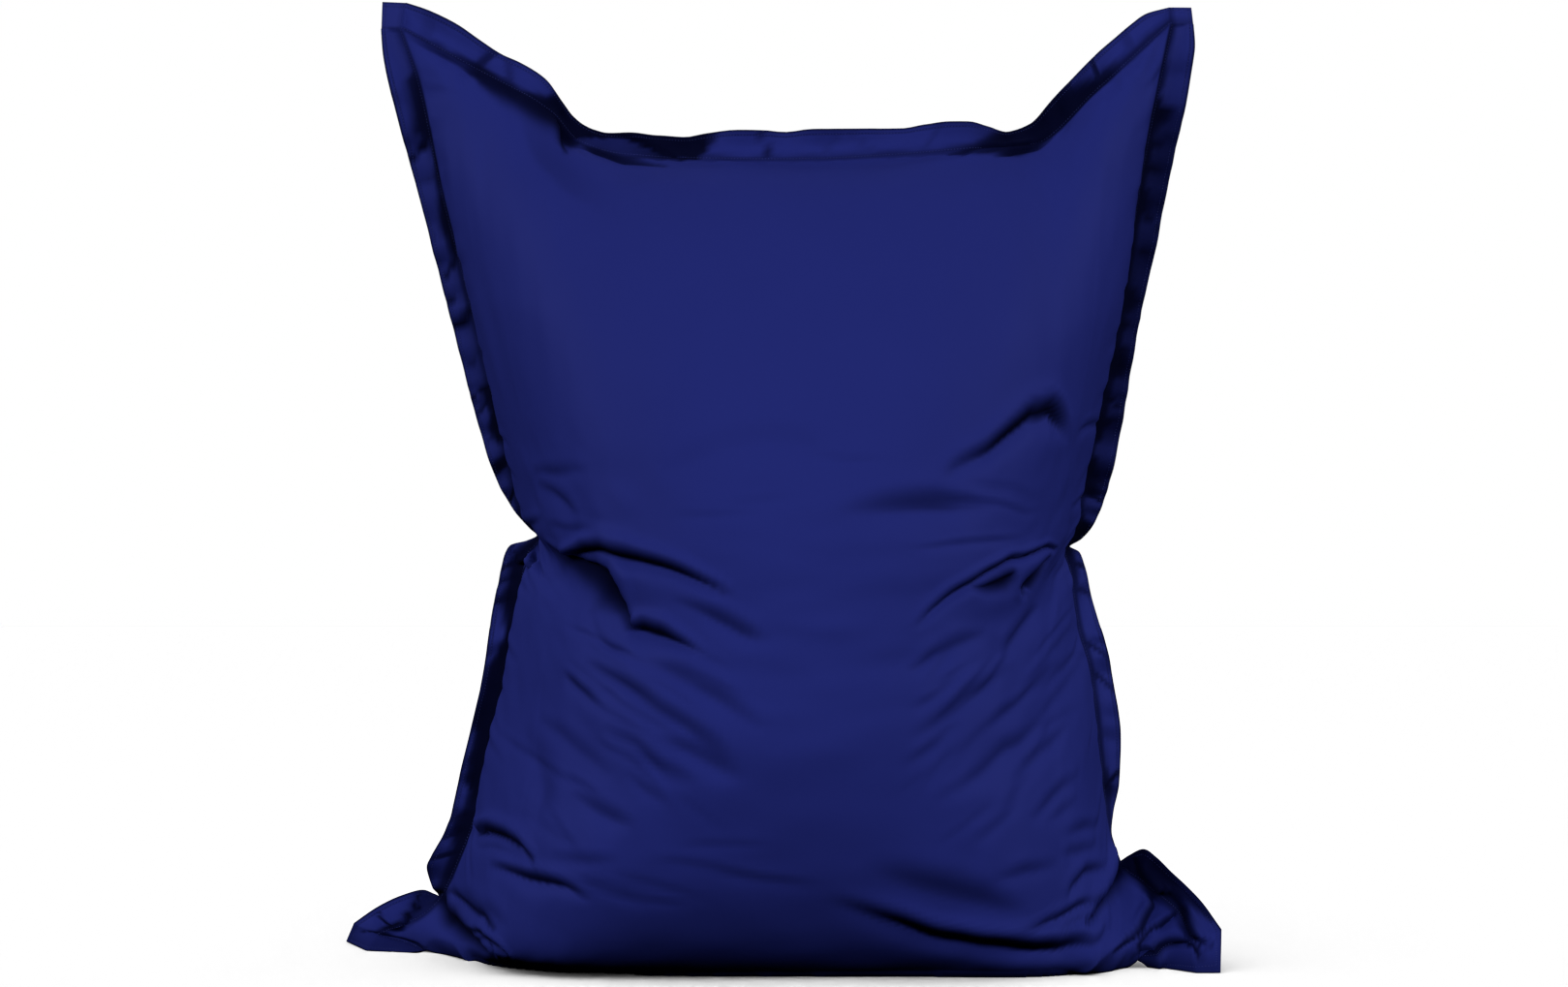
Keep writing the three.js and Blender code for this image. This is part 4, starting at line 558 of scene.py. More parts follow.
def uneven(length, seed, low, high, amp, skew=.5):
    """An uneven wave along a seam, as gathered cloth has: waves of random length and height, one slope steeper."""
    r = np.random.default_rng(seed)
    at, h, x = [-.05], [0.0], -.05
    while x < length + .2:
        wave, a = r.uniform(low, high), amp * r.uniform(.3, 1.25)
        k = np.clip(skew + r.uniform(-.12, .12), .12, .88)
        at += [x + wave * k, x + wave]
        h += [a, -a * r.uniform(.5, 1)]
        x += wave
    at, h = np.array(at), np.array(h)
    s = np.linspace(0, length, 900)
    i = np.clip(np.searchsorted(at, s) - 1, 0, len(at) - 2)
    k = (s - at[i]) / (at[i + 1] - at[i])
    k = (1 - np.cos(np.pi * k)) / 2
    return s / length, h[i] * (1 - k) + h[i + 1] * k


LENGTHS = {"left": 1.55, "right": 1.50, "top": 1.35}
WAVES = {   # seed, shortest and longest wave, height, how much of a wave is its gentle slope
    "left": (11, .050, .125, .0022, .72), "right": (26, .050, .120, .0022, .72), "top": (5, .070, .150, .0025, .5)}
WAVES_OUT = {"left": (41, .045, .110, .0035, .72), "right": (56, .045, .105, .0035, .72), "top": (35, .070, .150, .0060, .5)}
# The border's folds, across it: row where the camera sees one (column on the top), height in the picture, how dark its
# painted shade is, how much lower its outer end is for each mm, how far it stands to the front and back in mm.
FOLDS = {
    "left": [(142, 9, 1, .35, 8), (176, 10, .25, .2, 4), (222, 9, .3, .4, 5), (262, 10, .7, .5, 6), (299, 6, .75, .1, 4), (324, 12, 1, .12, 9),
             (362, 9, .4, .3, 4), (397, 6, .9, .15, 5), (409, 9, .6, .3, 5), (436, 9, .3, .4, 4), (474, 16, 1, .12, 9), (503, 8, .95, .25, 6),
             (528, 8, .3, .3, 4), (577, 8, .8, .2, 5), (594, 8, .6, .1, 4), (616, 14, .7, .1, 6), (668, 14, .2, .1, 4),
             (735, 16, .3, .1, 4), (802, 12, .5, -.2, 4), (840, 11, .7, .2, 6), (858, 9, .7, .2, 5), (880, 10, .8, .2, 5)],
    "right": [(113, 8, 1, -.1, 6), (140, 12, .8, .3, 5), (168, 14, .85, .2, 6), (208, 12, .95, .5, 6), (250, 12, .85, .2, 5),
              (306, 12, 1, .1, 7), (331, 9, .85, .2, 6), (372, 18, 1, .2, 8), (405, 10, .9, .3, 7), (438, 14, .95, -.2, 7),
              (484, 13, .95, .3, 7), (505, 8, 1, .2, 5), (524, 7, .7, .6, 4), (546, 9, .95, .3, 5), (582, 8, .6, .2, 4), (607, 9, .4, .2, 4),
              (662, 9, .45, .4, 5), (692, 10, .45, .5, 5), (756, 14, .15, .2, 4), (816, 9, .75, -.35, 6), (862, 8, .3, .2, 4)],
    "top": [(440, 14, .1, 0, 3), (490, 10, .5, .2, 4), (528, 12, .25, -.3, 3), (566, 10, .5, 0, 5), (590, 16, .9, 0, 9), (618, 12, .6, 0, 5),
            (662, 16, .5, 0, 6), (706, 12, .4, 0, 6), (797, 7, .5, -.25, 4), (846, 12, .12, .5, 3), (905, 14, .12, -.5, 4), (952, 12, .15, .5, 4),
            (1030, 12, .5, 0, 6), (1060, 16, .9, 0, 9), (1096, 9, .85, 0, 7), (1116, 8, .8, 0, 5), (1141, 6, .7, 0, 5), (1175, 10, .15, 0, 3)]}
# The painted shade in the groove beside the seam: place in the picture as above, how dark it is painted on the border
# and how far out in mm, how dark the rest of the border is painted, how dark it is painted on the panel and how far in.
SHADE = {
    "left": np.array([
        (15, .2, 5, 0, .1, 3), (50, .35, 4, 0, .2, 3), (72, .5, 5, .02, .3, 3), (82, .7, 17, .05, .3, 3), (118, .8, 20, .1, .3, 3),
        (134, .8, 24, .2, .3, 3), (150, .7, 4, .05, .3, 3), (163, .9, 5, .08, .3, 3), (186, .9, 5, .08, .3, 3), (194, .6, 4, .1, .3, 3),
        (206, .85, 8, .15, .3, 3), (232, .9, 12, .15, .3, 3), (256, .9, 11, .2, .3, 3), (270, .5, 6, .2, .3, 3), (296, .5, 5, .2, .3, 3),
        (312, .5, 5, .15, .3, 3), (336, .35, 4, .2, .2, 3), (390, .35, 4, .2, .2, 3), (402, .8, 12, .25, .3, 3), (416, .8, 8, .2, .3, 3),
        (424, .98, 6, .15, .4, 3), (440, .98, 13, .15, .4, 3), (450, .98, 10, .15, .4, 3), (458, .4, 4, .15, .3, 3), (490, .4, 4, .2, .3, 4),
        (520, .45, 4, .15, .3, 4),
        (548, .7, 8, .25, .5, 6), (566, .8, 12, .3, .5, 6), (584, .9, 20, .3, .4, 4), (612, .9, 20, .3, .4, 4), (636, .8, 10, .1, .3, 3),
        (654, .8, 4, 0, .35, 3), (664, 1, 8, 0, .4, 3), (684, 1, 17, 0, .45, 3), (702, 1, 27, 0, .45, 3), (724, 1, 34, 0, .45, 4),
        (746, 1, 35, .05, .45, 4), (758, .95, 19, 0, .5, 4), (774, .95, 15, 0, .5, 4), (786, 1, 24, .05, .5, 4), (806, 1, 24, .1, .5, 4),
        (818, .9, 8, .1, .5, 4), (835, .7, 9, .15, .4, 4), (850, .9, 20, .2, .4, 4), (880, .8, 14, .25, .5, 6),
        (905, .8, 14, .25, .5, 6), (925, .6, 10, .15, .4, 5), (960, .4, 6, 0, .3, 4)], float),
    "right": np.array([
        (15, .5, 5, 0, .2, 3), (40, .7, 7, .05, .3, 3), (80, .7, 8, .15, .3, 3), (100, .7, 8, .25, .3, 3), (110, 1, 28, .4, .4, 3),
        (122, .95, 26, .6, .4, 3), (134, .9, 8, .7, .4, 3), (160, .9, 8, .8, .4, 3), (188, .85, 6, .75, .4, 3), (200, .98, 14, .8, .4, 3),
        (214, .95, 14, .75, .4, 3), (226, .85, 5, .7, .4, 3), (262, .8, 5, .8, .4, 3), (292, .85, 6, .8, .4, 3), (302, 1, 26, .8, .4, 3),
        (314, .95, 22, .8, .4, 3), (324, .8, 6, .75, .4, 3), (350, .8, 8, .7, .4, 3), (358, 1, 20, .8, .4, 3), (382, 1, 24, .8, .4, 3),
        (392, .8, 6, .7, .4, 3), (424, .85, 8, .7, .4, 3), (434, 1, 15, .75, .4, 3), (450, 1, 13, .7, .4, 3), (458, .7, 5, .5, .4, 3),
        (466, .7, 5, .5, .4, 3), (476, 1, 14, .75, .4, 4), (496, 1, 18, .75, .4, 4), (506, .9, 20, .6, .4, 4), (514, .5, 4, .3, .4, 5),
        (532, .6, 6, .35, .5, 5), (540, .95, 20, .6, .5, 6), (560, .9, 18, .55, .5, 6), (580, .7, 10, .15, .4, 5), (610, .45, 5, .02, .25, 3),
        (700, .45, 4, 0, .25, 3), (790, .5, 5, 0, .25, 3), (812, .7, 12, .15, .3, 3), (830, .4, 4, .02, .25, 3), (860, .4, 5, .05, .25, 3),
        (880, .7, 12, .3, .5, 6), (920, .8, 14, .25, .5, 6), (970, .5, 8, .1, .4, 5)], float),
    "top": np.array([
        (395, .3, 5, 0, .1, 3), (440, .45, 5, 0, .2, 4), (478, .55, 6, 0, .35, 7), (492, .8, 7, .02, .8, 24), (515, .75, 6, .05, .85, 36), (540, .7, 6, .05, .85, 38),
        (558, .85, 10, .15, .9, 42), (574, 1, 30, .6, 1, 48), (588, 1, 45, .9, 1, 34), (600, 1, 45, 1, .6, 8), (628, .95, 42, .9, .5, 9),
        (650, .9, 30, .5, .45, 11), (684, .95, 30, .45, .5, 9), (698, .9, 24, .32, .45, 7), (726, .5, 9, .06, .3, 6), (740, .4, 7, .05, .25, 5), (800, .35, 6, .03, .2, 5),
        (900, .35, 6, .03, .2, 5), (970, .4, 7, .05, .3, 9), (1005, .6, 12, .15, .55, 15), (1030, .9, 24, .5, .8, 20), (1048, 1, 42, .9, .85, 20),
        (1068, 1, 45, 1, .7, 12), (1088, 1, 42, .9, .4, 4), (1104, 1, 32, .6, .35, 3), (1120, .9, 18, .15, .3, 3), (1144, .85, 14, .08, .3, 3),
        (1160, .5, 7, 0, .25, 3), (1206, .4, 5, 0, .2, 3)], float)}


def wave(table, side, at):
    seed, low, high, amp, skew = table[side]
    s, w = uneven(LENGTHS[side], seed, low, high, amp, skew)
    t = at if side in ("left", "right") else (at + 1) / 2
    return np.interp(t, s, w) * ease(np.minimum(t, 1 - t) / .05)


def folded(side, place):
    """The border's own folds: it runs slowly to the back as it goes up, and comes back to the front in a short step."""
    x, h = [-1e3], [0.0]
    for at, high, _, _, amp in sorted(FOLDS[side]):
        x += [at - high * .65, at + high * .65]
        h += [-amp * .7 / 1000, amp * .7 / 1000]
    x, h = np.maximum.accumulate(np.array(x + [3e3])) + 1e-6 * np.arange(len(x) + 1), np.array(h + [0.0])
    i = np.clip(np.searchsorted(x, place) - 1, 0, len(x) - 2)
    k = (place - x[i]) / (x[i + 1] - x[i])
    k = (1 - np.cos(np.pi * k)) / 2
    return h[i] * (1 - k) + h[i + 1] * k


def ragged(seed, place, low, high, amp):
    """An uneven run of numbers round 1 along a seam: seeded, straight from one random place to the next."""
    r = np.random.default_rng(seed)
    x, y = [0.0], [1.0]
    while x[-1] < 1300:
        x.append(x[-1] + r.uniform(low, high))
        y.append(1 + r.uniform(-amp, amp))
    return np.interp(place, x, y)


# The fold that is turned down into the top border, left of the middle: its edge, and how dark the painted shade on the
# petal under it is.
TURNED_EDGE = np.array([(578, 152), (589, 145), (604, 143.5), (625, 144), (645, 143), (672, 153), (695, 161.5), (716, 167), (720, 168)], float)
TURNED_PETAL = np.array([(590, .75), (604, .35), (640, .35), (668, .5), (684, .8), (704, .85), (714, .4)], float)


def turned_fold(px, val):
    """The border's painted shade round that fold: near-full painted shade above its edge, the petal below it painted
    lighter at its left end.
    """
    x, y = px[:, 0], px[:, 1]
    edge = np.interp(x, TURNED_EDGE[:, 0], TURNED_EDGE[:, 1])
    above = ease((edge - y) / 3.5 + .5) * ease((721 + (167 - y) * .85 - x) / 9 + .5)
    below = np.interp(x, TURNED_PETAL[:, 0], TURNED_PETAL[:, 1]) * ease((716 - x) / 8)
    mine = np.maximum(above, np.where(y > edge, below, 0))
    mine = np.maximum(mine, np.where(x > 712, val * .6, 0))
    k = ease((x - 586) / 10) * ease((742 - x) / 12)
    return val * (1 - k) + mine * k


def groove_shade(sheet, across):
    """The painted shade of the groove beside the seam and of the border's folds, 0 to 1, at every point of the front
    sheet.
    """
    m = len(across) - 1
    nv, nu = sheet.shape[:2]
    out = np.zeros((nv, nu))
    px = seen(sheet)
    for side in ("left", "right", "top"):
        line = sheet[m:-m, m] if side == "left" else sheet[m:-m, -m - 1] if side == "right" else sheet[-m - 1, m:-m]
        spot = seen(line)
        place = spot[:, 0 if side == "top" else 1]
        t = SHADE[side]
        near, wide, rest, inside, deep = (np.interp(place, t[:, 0], t[:, k]) for k in range(1, 6))
        near, wide, rest = np.minimum(1, near * 1.08), wide * ragged({"left": 61, "right": 64, "top": 67}[side], place, 9, 26, .30), rest * .8
        # how far outside the panel the camera sees each station, in mm
        if side == "left":
            out_of = [(px[m:-m, m:m + 12, 0].min(1) - px[m:-m, m - k, 0]) * 1.414 for k in range(m + 1)]
        elif side == "right":
            out_of = [(px[m:-m, nu - 1 - m + k, 0] - px[m:-m, -m - 12:-m, 0].max(1)) * 1.414 for k in range(m + 1)]
        else:
            slope = np.gradient(spot[:, 1]) / np.gradient(spot[:, 0])
            out_of = [(px[-m - 12:-m, m:-m, 1].min(0) - px[nv - 1 - m + k, m:-m, 1]) * 1.414 / np.sqrt(1 + slope ** 2) for k in range(m + 1)]
        for k in range(m + 1):
            d = across[k] * 1000
            see = np.clip(out_of[k], 0, 60)
            val = rest + (near - rest) * np.exp(-(see / wide) ** 4)
            for at, high, painted_dark, slant, _ in FOLDS[side]:
                x = (place - at - slant * d) / (.55 * high)
                # one edge of each fold's painted shade is sharp, the other fades
                x = np.where(x > 0, x * 2.0, x * .9)
                val = np.maximum(val, min(1, painted_dark * 1.15) * np.exp(-np.abs(x) ** 4) * (.72 + .28 * np.exp(-(see / 22) ** 2)))
            # painted shade: a dark line along the border's outer edge
            val = np.maximum(val, .85 * ease((d - 46) / 4))
            if abs(d - 42) < .5:        # painted shade in the stitching's own furrow
                val = np.maximum(val, .30)
            if k == 0:
                val = np.maximum(val * .8, inside)
            if side == "top":
                val = turned_fold(px[nv - 1 - m + k, m:-m], val)
            if side == "left":
                out[m:-m, m - k] = val
            elif side == "right":
                out[m:-m, nu - 1 - m + k] = val
            else:
                out[nv - 1 - m + k, m:-m] = np.maximum(out[nv - 1 - m + k, m:-m], val)
        # on the panel the painted shade fades quickly
        for k in range(1, 20):
            if side == "top":
                d = np.linalg.norm(sheet[-m - 1 - k, m:-m] - line, axis=-1) * 1000
                val = inside * np.exp(-(d / deep) ** 3)
                out[-m - 1 - k, m:-m] = np.maximum(out[-m - 1 - k, m:-m], val)
            else:
                j = m + k if side == "left" else nu - 1 - m - k
                d = np.linalg.norm(sheet[m:-m, j] - line, axis=-1) * 1000
                out[m:-m, j] = np.maximum(out[m:-m, j], inside * np.exp(-(d / deep) ** 2))
    # corners take the values of the seams' ends
    for rows, r in ((slice(0, m), m), (slice(nv - m, nv), nv - 1 - m)):
        for cols, c in ((slice(0, m), m), (slice(nu - m, nu), nu - 1 - m)):
            out[rows, cols] = (out[r, cols][None] + out[rows, c][:, None]) / 2
    # painted shade on the feet's own borders, on the floor, beside the seam and along the outer edge
    for k in range(m + 1):
        d = across[k] * 1000
        val = .45 * np.exp(-(d / 7) ** 2) + .35 * ease((d - 47) / 3)
        for cols in (slice(m, m + 26), slice(nu - m - 26, nu - m)):
            out[m - k, cols] = np.maximum(out[m - k, cols], val)
    return out


# Where the cloth is fuller beside the feet than the panels' own sweep: column and row, mm to the right, back and up,
# and how far that reaches in mm.
FULLER = [
    (452, 975, 0, -34, -9, 34), (470, 978, 0, -46, -9, 44), (486, 986, 0, -46, -8, 44),
    (1166, 979, 0, -44, -14, 36), (1177, 984, 8, -30, -9, 34), (1148, 985, 0, -50, -8, 44), (1126, 994, 0, -40, -5, 40)]


def fuller(sheet):
    move = np.zeros_like(sheet)
    total = np.zeros(sheet.shape[:2])
    for col, row, dx, dy, dz, wide in FULLER:
        p = read(sheet, find(sheet, [(col, row)]))[0]
        w = np.exp(-(np.linalg.norm(sheet - p, axis=-1) / (wide / 1000)) ** 2)
        move += w[..., None] * np.array([dx, dy, dz]) / 1000
        total += w
    move /= np.maximum(1, total)[..., None]
    out = sheet + move
    out[..., 2] = np.where(sheet[..., 2] <= 0, 0, np.maximum(out[..., 2], .0008))
    return out


def base_sheets(u, v, across):
    """The front sheet with its border at the stations "across", and the back panel, before creases."""
    front, back = panel(FRONT_LINE, u, v), panel(BACK_LINE, u, v)
    b = curve(BULGE, v, [1, 2]) / 1000
    for side, s in (("left", -1), ("right", 1)):
        d = border_frame(side, v)[0]
        d[:, 1] = 0
        d = unit(d)
        amount = b[:, 0 if side == "left" else 1]
        dist = (1 - s * u) * PANEL_W / 2
        shape = (dist / .030) * np.exp(1 - dist / .030) * np.where(dist > .16, 0, 1)
        for g in (front, back):
            g += d[:, None] * (amount[:, None] * shape[None])[..., None]
    for g in (front, back):
        g[..., 2] = np.where(g[..., 2] < BASE_SNAP, 0, g[..., 2])
    # the seam's own waves, to the front and back, run on a little way into both panels
    for side in ("left", "right", "top"):
        at = v if side in ("left", "right") else u
        line = front[:, 0] if side == "left" else front[:, -1] if side == "right" else front[-1]
        w = (wave(WAVES, side, at) + .3 * folded(side, seen(line)[:, 0 if side == "top" else 1])) * ease((line[:, 2] - .03) / .05)
        if side == "top":
            dist = (1 - v) * PANEL_H
            move = w[None] * np.exp(-(dist / .028) ** 1.5)[:, None]
        else:
            dist = (1 + u if side == "left" else 1 - u) * PANEL_W / 2
            move = w[:, None] * np.exp(-(dist / .028) ** 1.5)[None]
        front[..., 1] += move
        back[..., 1] += move
    n = len(across)
    m = n - 1
    nv, nu = front.shape[:2]
    g = np.zeros((nv + 2 * m, nu + 2 * m, 3))
    g[m:-m, m:-m] = front
    seams = {"left": front[:, 0], "right": front[:, -1], "top": front[-1], "bottom": front[0]}
    outer = {s: outer_edge(s, v if s in ("left", "right") else u, seams[s]) for s in seams}
    swing = {s: wave(WAVES_OUT, s, v if s in ("left", "right") else u) * ease((seams[s][:, 2] - .05) / .10) for s in ("left", "right", "top")}
    bent = {s: folded(s, seen(seams[s])[:, 0 if s == "top" else 1]) * ease((seams[s][:, 2] - .05) / .10) for s in ("left", "right", "top")}
    swing["bottom"] = np.zeros(nu)
    for k in range(1, n):
        a = across[k] / BORDER
        # beside the panel the border first runs to the back, then out: a groove lies along the seam
        groove = .55 * BORDER * a * (1 - a) ** 1.6 * 2
        for s in seams:
            step = (outer[s] - seams[s]) * a
            if s != "bottom":
                step[:, 1] += swing[s] * a ** 1.3 + bent[s] * (1.5 * a ** .8 - .5 * a) + groove * ease((seams[s][:, 2] - .03) / .08)
            row = seams[s] + step
            if s == "left":
                g[m:-m, m - k] = row
            elif s == "right":
                g[m:-m, -m - 1 + k] = row
            elif s == "top":
                g[-m - 1 + k, m:-m] = row
            else:
                g[m - k, m:-m] = row
    for row in ("bottom", "top"):
        for col in ("left", "right"):
            iv, ju = (0 if row == "bottom" else nv - 1), (0 if col == "left" else nu - 1)
            c = front[iv, ju]
            tx, ty, deep = TIPS[col + " " + row]
            px = np.array([tx, ty], float)
            tip = at_depth(px, np.array(c[1] + deep / 1000)) if row == "top" else on_floor(px)
            side_way, end_way = outer[col][iv] - c, outer[row][ju] - c
            for k in range(1, n):
                for l in range(1, n):
                    a, b = across[k] / BORDER, across[l] / BORDER
                    i = m - k if row == "bottom" else m + nv - 1 + k
                    j = m - l if col == "left" else m + nu - 1 + l
                    g[i, j] = c + end_way * a + side_way * b + (tip - c - side_way - end_way) * a * b
    return fuller(g), back


def pad(back, n):
    """The back panel as a grid with the same rows and columns as the front sheet, its edge repeated outside."""
    return np.pad(back, ((n, n), (n, n), (0, 0)), mode="edge")


# ---- small puckers where the seams gather: seeded, of many lengths, the same kind as the gathers in the photograph -----
def puckers(seed, where):
    r = np.random.default_rng(seed)
    out = []
    for side in ("left", "right", "top"):
        t = .14 if side != "top" else .06
        while t < (.97 if side != "top" else .95):
            near_waist = bump(t, .465, .05) if side != "top" else 0
            long = r.uniform(.030, .095) * (1 + near_waist)
            deep = r.uniform(1.2, 3.6) * (1 + .6 * near_waist)
            wide = r.uniform(7, 12)
            tilt = r.uniform(-.5, .5)
            pts = []
            for k in np.linspace(0, 1, 4):
                d = .004 + long * k
                if side == "top":
                    u_, v_ = -1 + 2 * t + tilt * d / (PANEL_W / 2) + r.uniform(-.003, .003), 1 - d / PANEL_H
                else:
                    s = -1 if side == "left" else 1
                    u_, v_ = s * (1 - d / (PANEL_W / 2)), t + tilt * d / PANEL_H + r.uniform(-.002, .002)
                pts.append((u_, v_, deep * (1 - k) ** .8 * (.7 if k == 0 else 1) + .1, wide * (1 - .3 * k)))
            if side == "right":
                pts = pts[::-1]
            if where == "back":
                pts = pts[::-1]
            out.append({"sharp": r.uniform(.8, 1.1), "ridge": .45, "lip": .2, "pts": pts})
            t += r.uniform(.016, .050) if side != "top" else r.uniform(.025, .07)
    return out


def creased(u, v, across):
    """Front sheet and back panel with all their creases, and how much painted shade each point gets (0 to 1)."""
    sheet, back = base_sheets(u, v, across)
    global EDGE_CELLS
    EDGE_CELLS = len(across) - 1
    GRID["u"], GRID["v"] = u, v
    m = EDGE_CELLS
    nf, nb = normals(sheet, -1), normals(back, 1)
    move, painted_dark = crease_and_painted_shade(sheet, nf, FRONT_CREASES, "seen")
    more, shade = crease_and_painted_shade(sheet, nf, puckers(3, "front"), "panel")
    # on the border they only move it to the front and back, so that its edge keeps its line
    rim = np.ones(sheet.shape[:2], bool)
    rim[m:-m, m:-m] = False
    total = move + more
    through = (total * nf).sum(-1) / np.where(np.abs(nf[..., 1]) < .55, .55 * np.where(nf[..., 1] < 0, -1, 1), nf[..., 1])
    total = np.where(rim[..., None], np.stack([0 * through, through, 0 * through], -1), total)
    # the puckers' painted shade, a little weaker, joins the creases' painted shade
    sheet2, painted_dark = sheet + total, np.maximum(painted_dark, .6 * shade)
    back_grid, nbg = pad(back, m), pad(nb, m)
    bmove, back_painted_dark = crease_and_painted_shade(back_grid, nbg, BACK_CREASES + puckers(8, "back"), "panel")
    back2, back_painted_dark = back + bmove[m:-m, m:-m], back_painted_dark[m:-m, m:-m]
    # the seam belongs to both panels, so it keeps its place; the creases fade into it
    inner = sheet2[m:-m, m:-m]
    fade = ease(np.minimum(np.minimum((1 + u)[None, :], (1 - u)[None, :]) * PANEL_W / 2, (1 - v)[:, None] * PANEL_H) / .012)
    inner[:] = sheet[m:-m, m:-m] * (1 - fade[..., None]) + inner * fade[..., None]
    back2 = back * (1 - fade[..., None]) + back2 * fade[..., None]
    # in the ears the two panels lie close together, but don't pass through each other
    dist = np.minimum(np.minimum((1 + u)[None, :], (1 - u)[None, :]) * PANEL_W / 2, (1 - v)[:, None] * PANEL_H)
    back2[..., 1] = np.maximum(back2[..., 1], inner[..., 1] + np.minimum(.30 * dist, .012))
    # the base stays flat on the floor, and the creases fade into it
    for g, b in ((sheet2, sheet), (back2, back)):
        k = ease(b[..., 2] / .030)[..., None]
        g[:] = b * (1 - k) + g * k
        g[..., 2] = np.where(b[..., 2] <= 0, 0, np.maximum(g[..., 2], .0008))
    # painted shade of the groove beside the seams and of the border's folds, joined to the creases' painted shade
    shade = groove_shade(sheet, across)
    painted_dark = 1 - (1 - painted_dark) * (1 - shade)
    painted_dark, back_painted_dark = 1 - (1 - painted_dark) ** 1.8, 1 - (1 - back_painted_dark) ** 1.8
    # painted shade: a little darker where the cloth goes under, at the floor
    painted_dark = np.maximum(painted_dark, .55 * ease(1 - sheet[..., 2] / .040))
    back_painted_dark = np.maximum(back_painted_dark, .55 * ease(1 - back[..., 2] / .040))
    return sheet2, back2, painted_dark, back_painted_dark, sheet, back


def quads(a, flip):
    q = np.stack([a[:-1, :-1], a[:-1, 1:], a[1:, 1:], a[1:, :-1]], -1).reshape(-1, 4)
    return q[:, ::-1] if flip else q


# ---- the cloth settles: Blender's Cloth, with the seam, the feet's hems and the base held ------------------------------
def settle(sheet, back, frames_to_run=16):
    """How the simulated cloth moves from where it starts: for the front sheet and for the back panel."""
    nvf, nuf = sheet.shape[:2]
    vid = np.arange(nvf * nuf).reshape(nvf, nuf)
    iv = vid[NF:-NF, NF:-NF]
    bid = np.full(iv.shape, -1)
    bid[0], bid[-1], bid[:, 0], bid[:, -1] = iv[0], iv[-1], iv[:, 0], iv[:, -1]
    bid[1:-1, 1:-1] = nvf * nuf + np.arange((NV - 1) * (NU - 1)).reshape(NV - 1, NU - 1)
    sheet = sheet.copy()
    u = u1
    for k in range(1, NF + 1):      # under the bag the border lies out, so that no cell of it is empty
        t = ease((np.abs(u) - .70) / .12)[:, None]
        lie = sheet[NF, NF:-NF] + np.array([0, -BORDER * k / NF, 0])
        sheet[NF - k, NF:-NF] = sheet[NF - k, NF:-NF] * t + lie * (1 - t)
    co = np.concatenate([sheet.reshape(-1, 3), back[1:-1, 1:-1].reshape(-1, 3)])
    n = len(co)
    # each thread is a little longer than its way, so that the cloth can swell and ripple between the creases
    rest = co * 1.012
    r = np.random.default_rng(4)
    rough = r.normal(size=(NV + 1 + 2 * NF, NU + 1 + 2 * NF, 3))
    rough_b = r.normal(size=(NV + 1, NU + 1, 3))
    for g in (rough, rough_b):
        for _ in range(3):
            g[1:-1] = (g[:-2] + 2 * g[1:-1] + g[2:]) / 4
            g[:, 1:-1] = (g[:, :-2] + 2 * g[:, 1:-1] + g[:, 2:]) / 4
    noise = np.concatenate([rough.reshape(-1, 3), rough_b[1:-1, 1:-1].reshape(-1, 3)]) * .0022
    held = np.zeros(n, bool)
    for k in (iv[:, 0], iv[:, -1], iv[-1], iv[0], vid[:NF].ravel()):
        held[k] = True
    held |= co[:, 2] <= .0006
    start = co + np.where(held[:, None], 0, noise)
    swell = np.ones(n)
    edge = np.ones((nvf, nuf), bool)
    edge[NF + 1:-NF - 1, NF + 1:-NF - 1] = False
    swell[vid[edge]] = 0
    me = bpy.data.meshes.new("settle")
    me.from_pydata(start.tolist(), [], np.concatenate([quads(vid, False), quads(bid, True)]).tolist())
    me.update()
    ob = bpy.data.objects.new("settle", me)
    bpy.context.scene.collection.objects.link(ob)
    bpy.context.view_layer.objects.active = ob
    ob.shape_key_add(name="start")
    key = ob.shape_key_add(name="rest")
    key.data.foreach_set("co", rest.astype(np.float32).ravel())
    key.value = 0
    for name, w in (("held", held.astype(float)), ("swell", swell)):
        g = ob.vertex_groups.new(name=name)
        g.add(np.nonzero(w > 0)[0].tolist(), 1.0, "REPLACE")
    mod = ob.modifiers.new("cloth", "CLOTH")
    s = mod.settings
    s.quality, s.mass, s.air_damping = 5, .15, 1.0
    s.tension_stiffness, s.compression_stiffness, s.shear_stiffness, s.bending_stiffness = 60, 60, 18, .08
    s.tension_damping = s.compression_damping = s.shear_damping = 5
    s.bending_damping = .5
    s.use_pressure, s.uniform_pressure_force, s.vertex_group_pressure, s.fluid_density = True, 3.5, "swell", 0
    s.vertex_group_mass, s.pin_stiffness, s.rest_shape_key = "held", 1, key
    s.effector_weights.gravity = 0
    mod.collision_settings.use_collision = mod.collision_settings.use_self_collision = False
    sc = bpy.context.scene
    sc.frame_start, sc.frame_end = 1, frames_to_run
    mod.point_cache.frame_start, mod.point_cache.frame_end = 1, frames_to_run
    for f in range(1, frames_to_run + 1):
        sc.frame_set(f)
    e = ob.evaluated_get(bpy.context.evaluated_depsgraph_get())
    now = np.empty(n * 3, np.float32)
    e.data.vertices.foreach_get("co", now)
    sc.frame_set(1)
    bpy.data.objects.remove(ob)
    bpy.data.meshes.remove(me)
    gone = now.reshape(-1, 3).astype(float) - co
    far = np.linalg.norm(gone, axis=1, keepdims=True)
    gone *= np.minimum(1, .016 / np.maximum(far, 1e-9))       # no point moves more than 16 mm
    print("cloth: mean move %.1f mm, longest %.1f mm" % (far.mean() * 1000, far.max() * 1000))
    return gone[vid], gone[bid]


def smooth_grid(g, times):
    g = g.copy()
    for _ in range(times):
        g[1:-1] = (g[:-2] + 2 * g[1:-1] + g[2:]) / 4
        g[:, 1:-1] = (g[:, :-2] + 2 * g[:, 1:-1] + g[:, 2:]) / 4
    return g

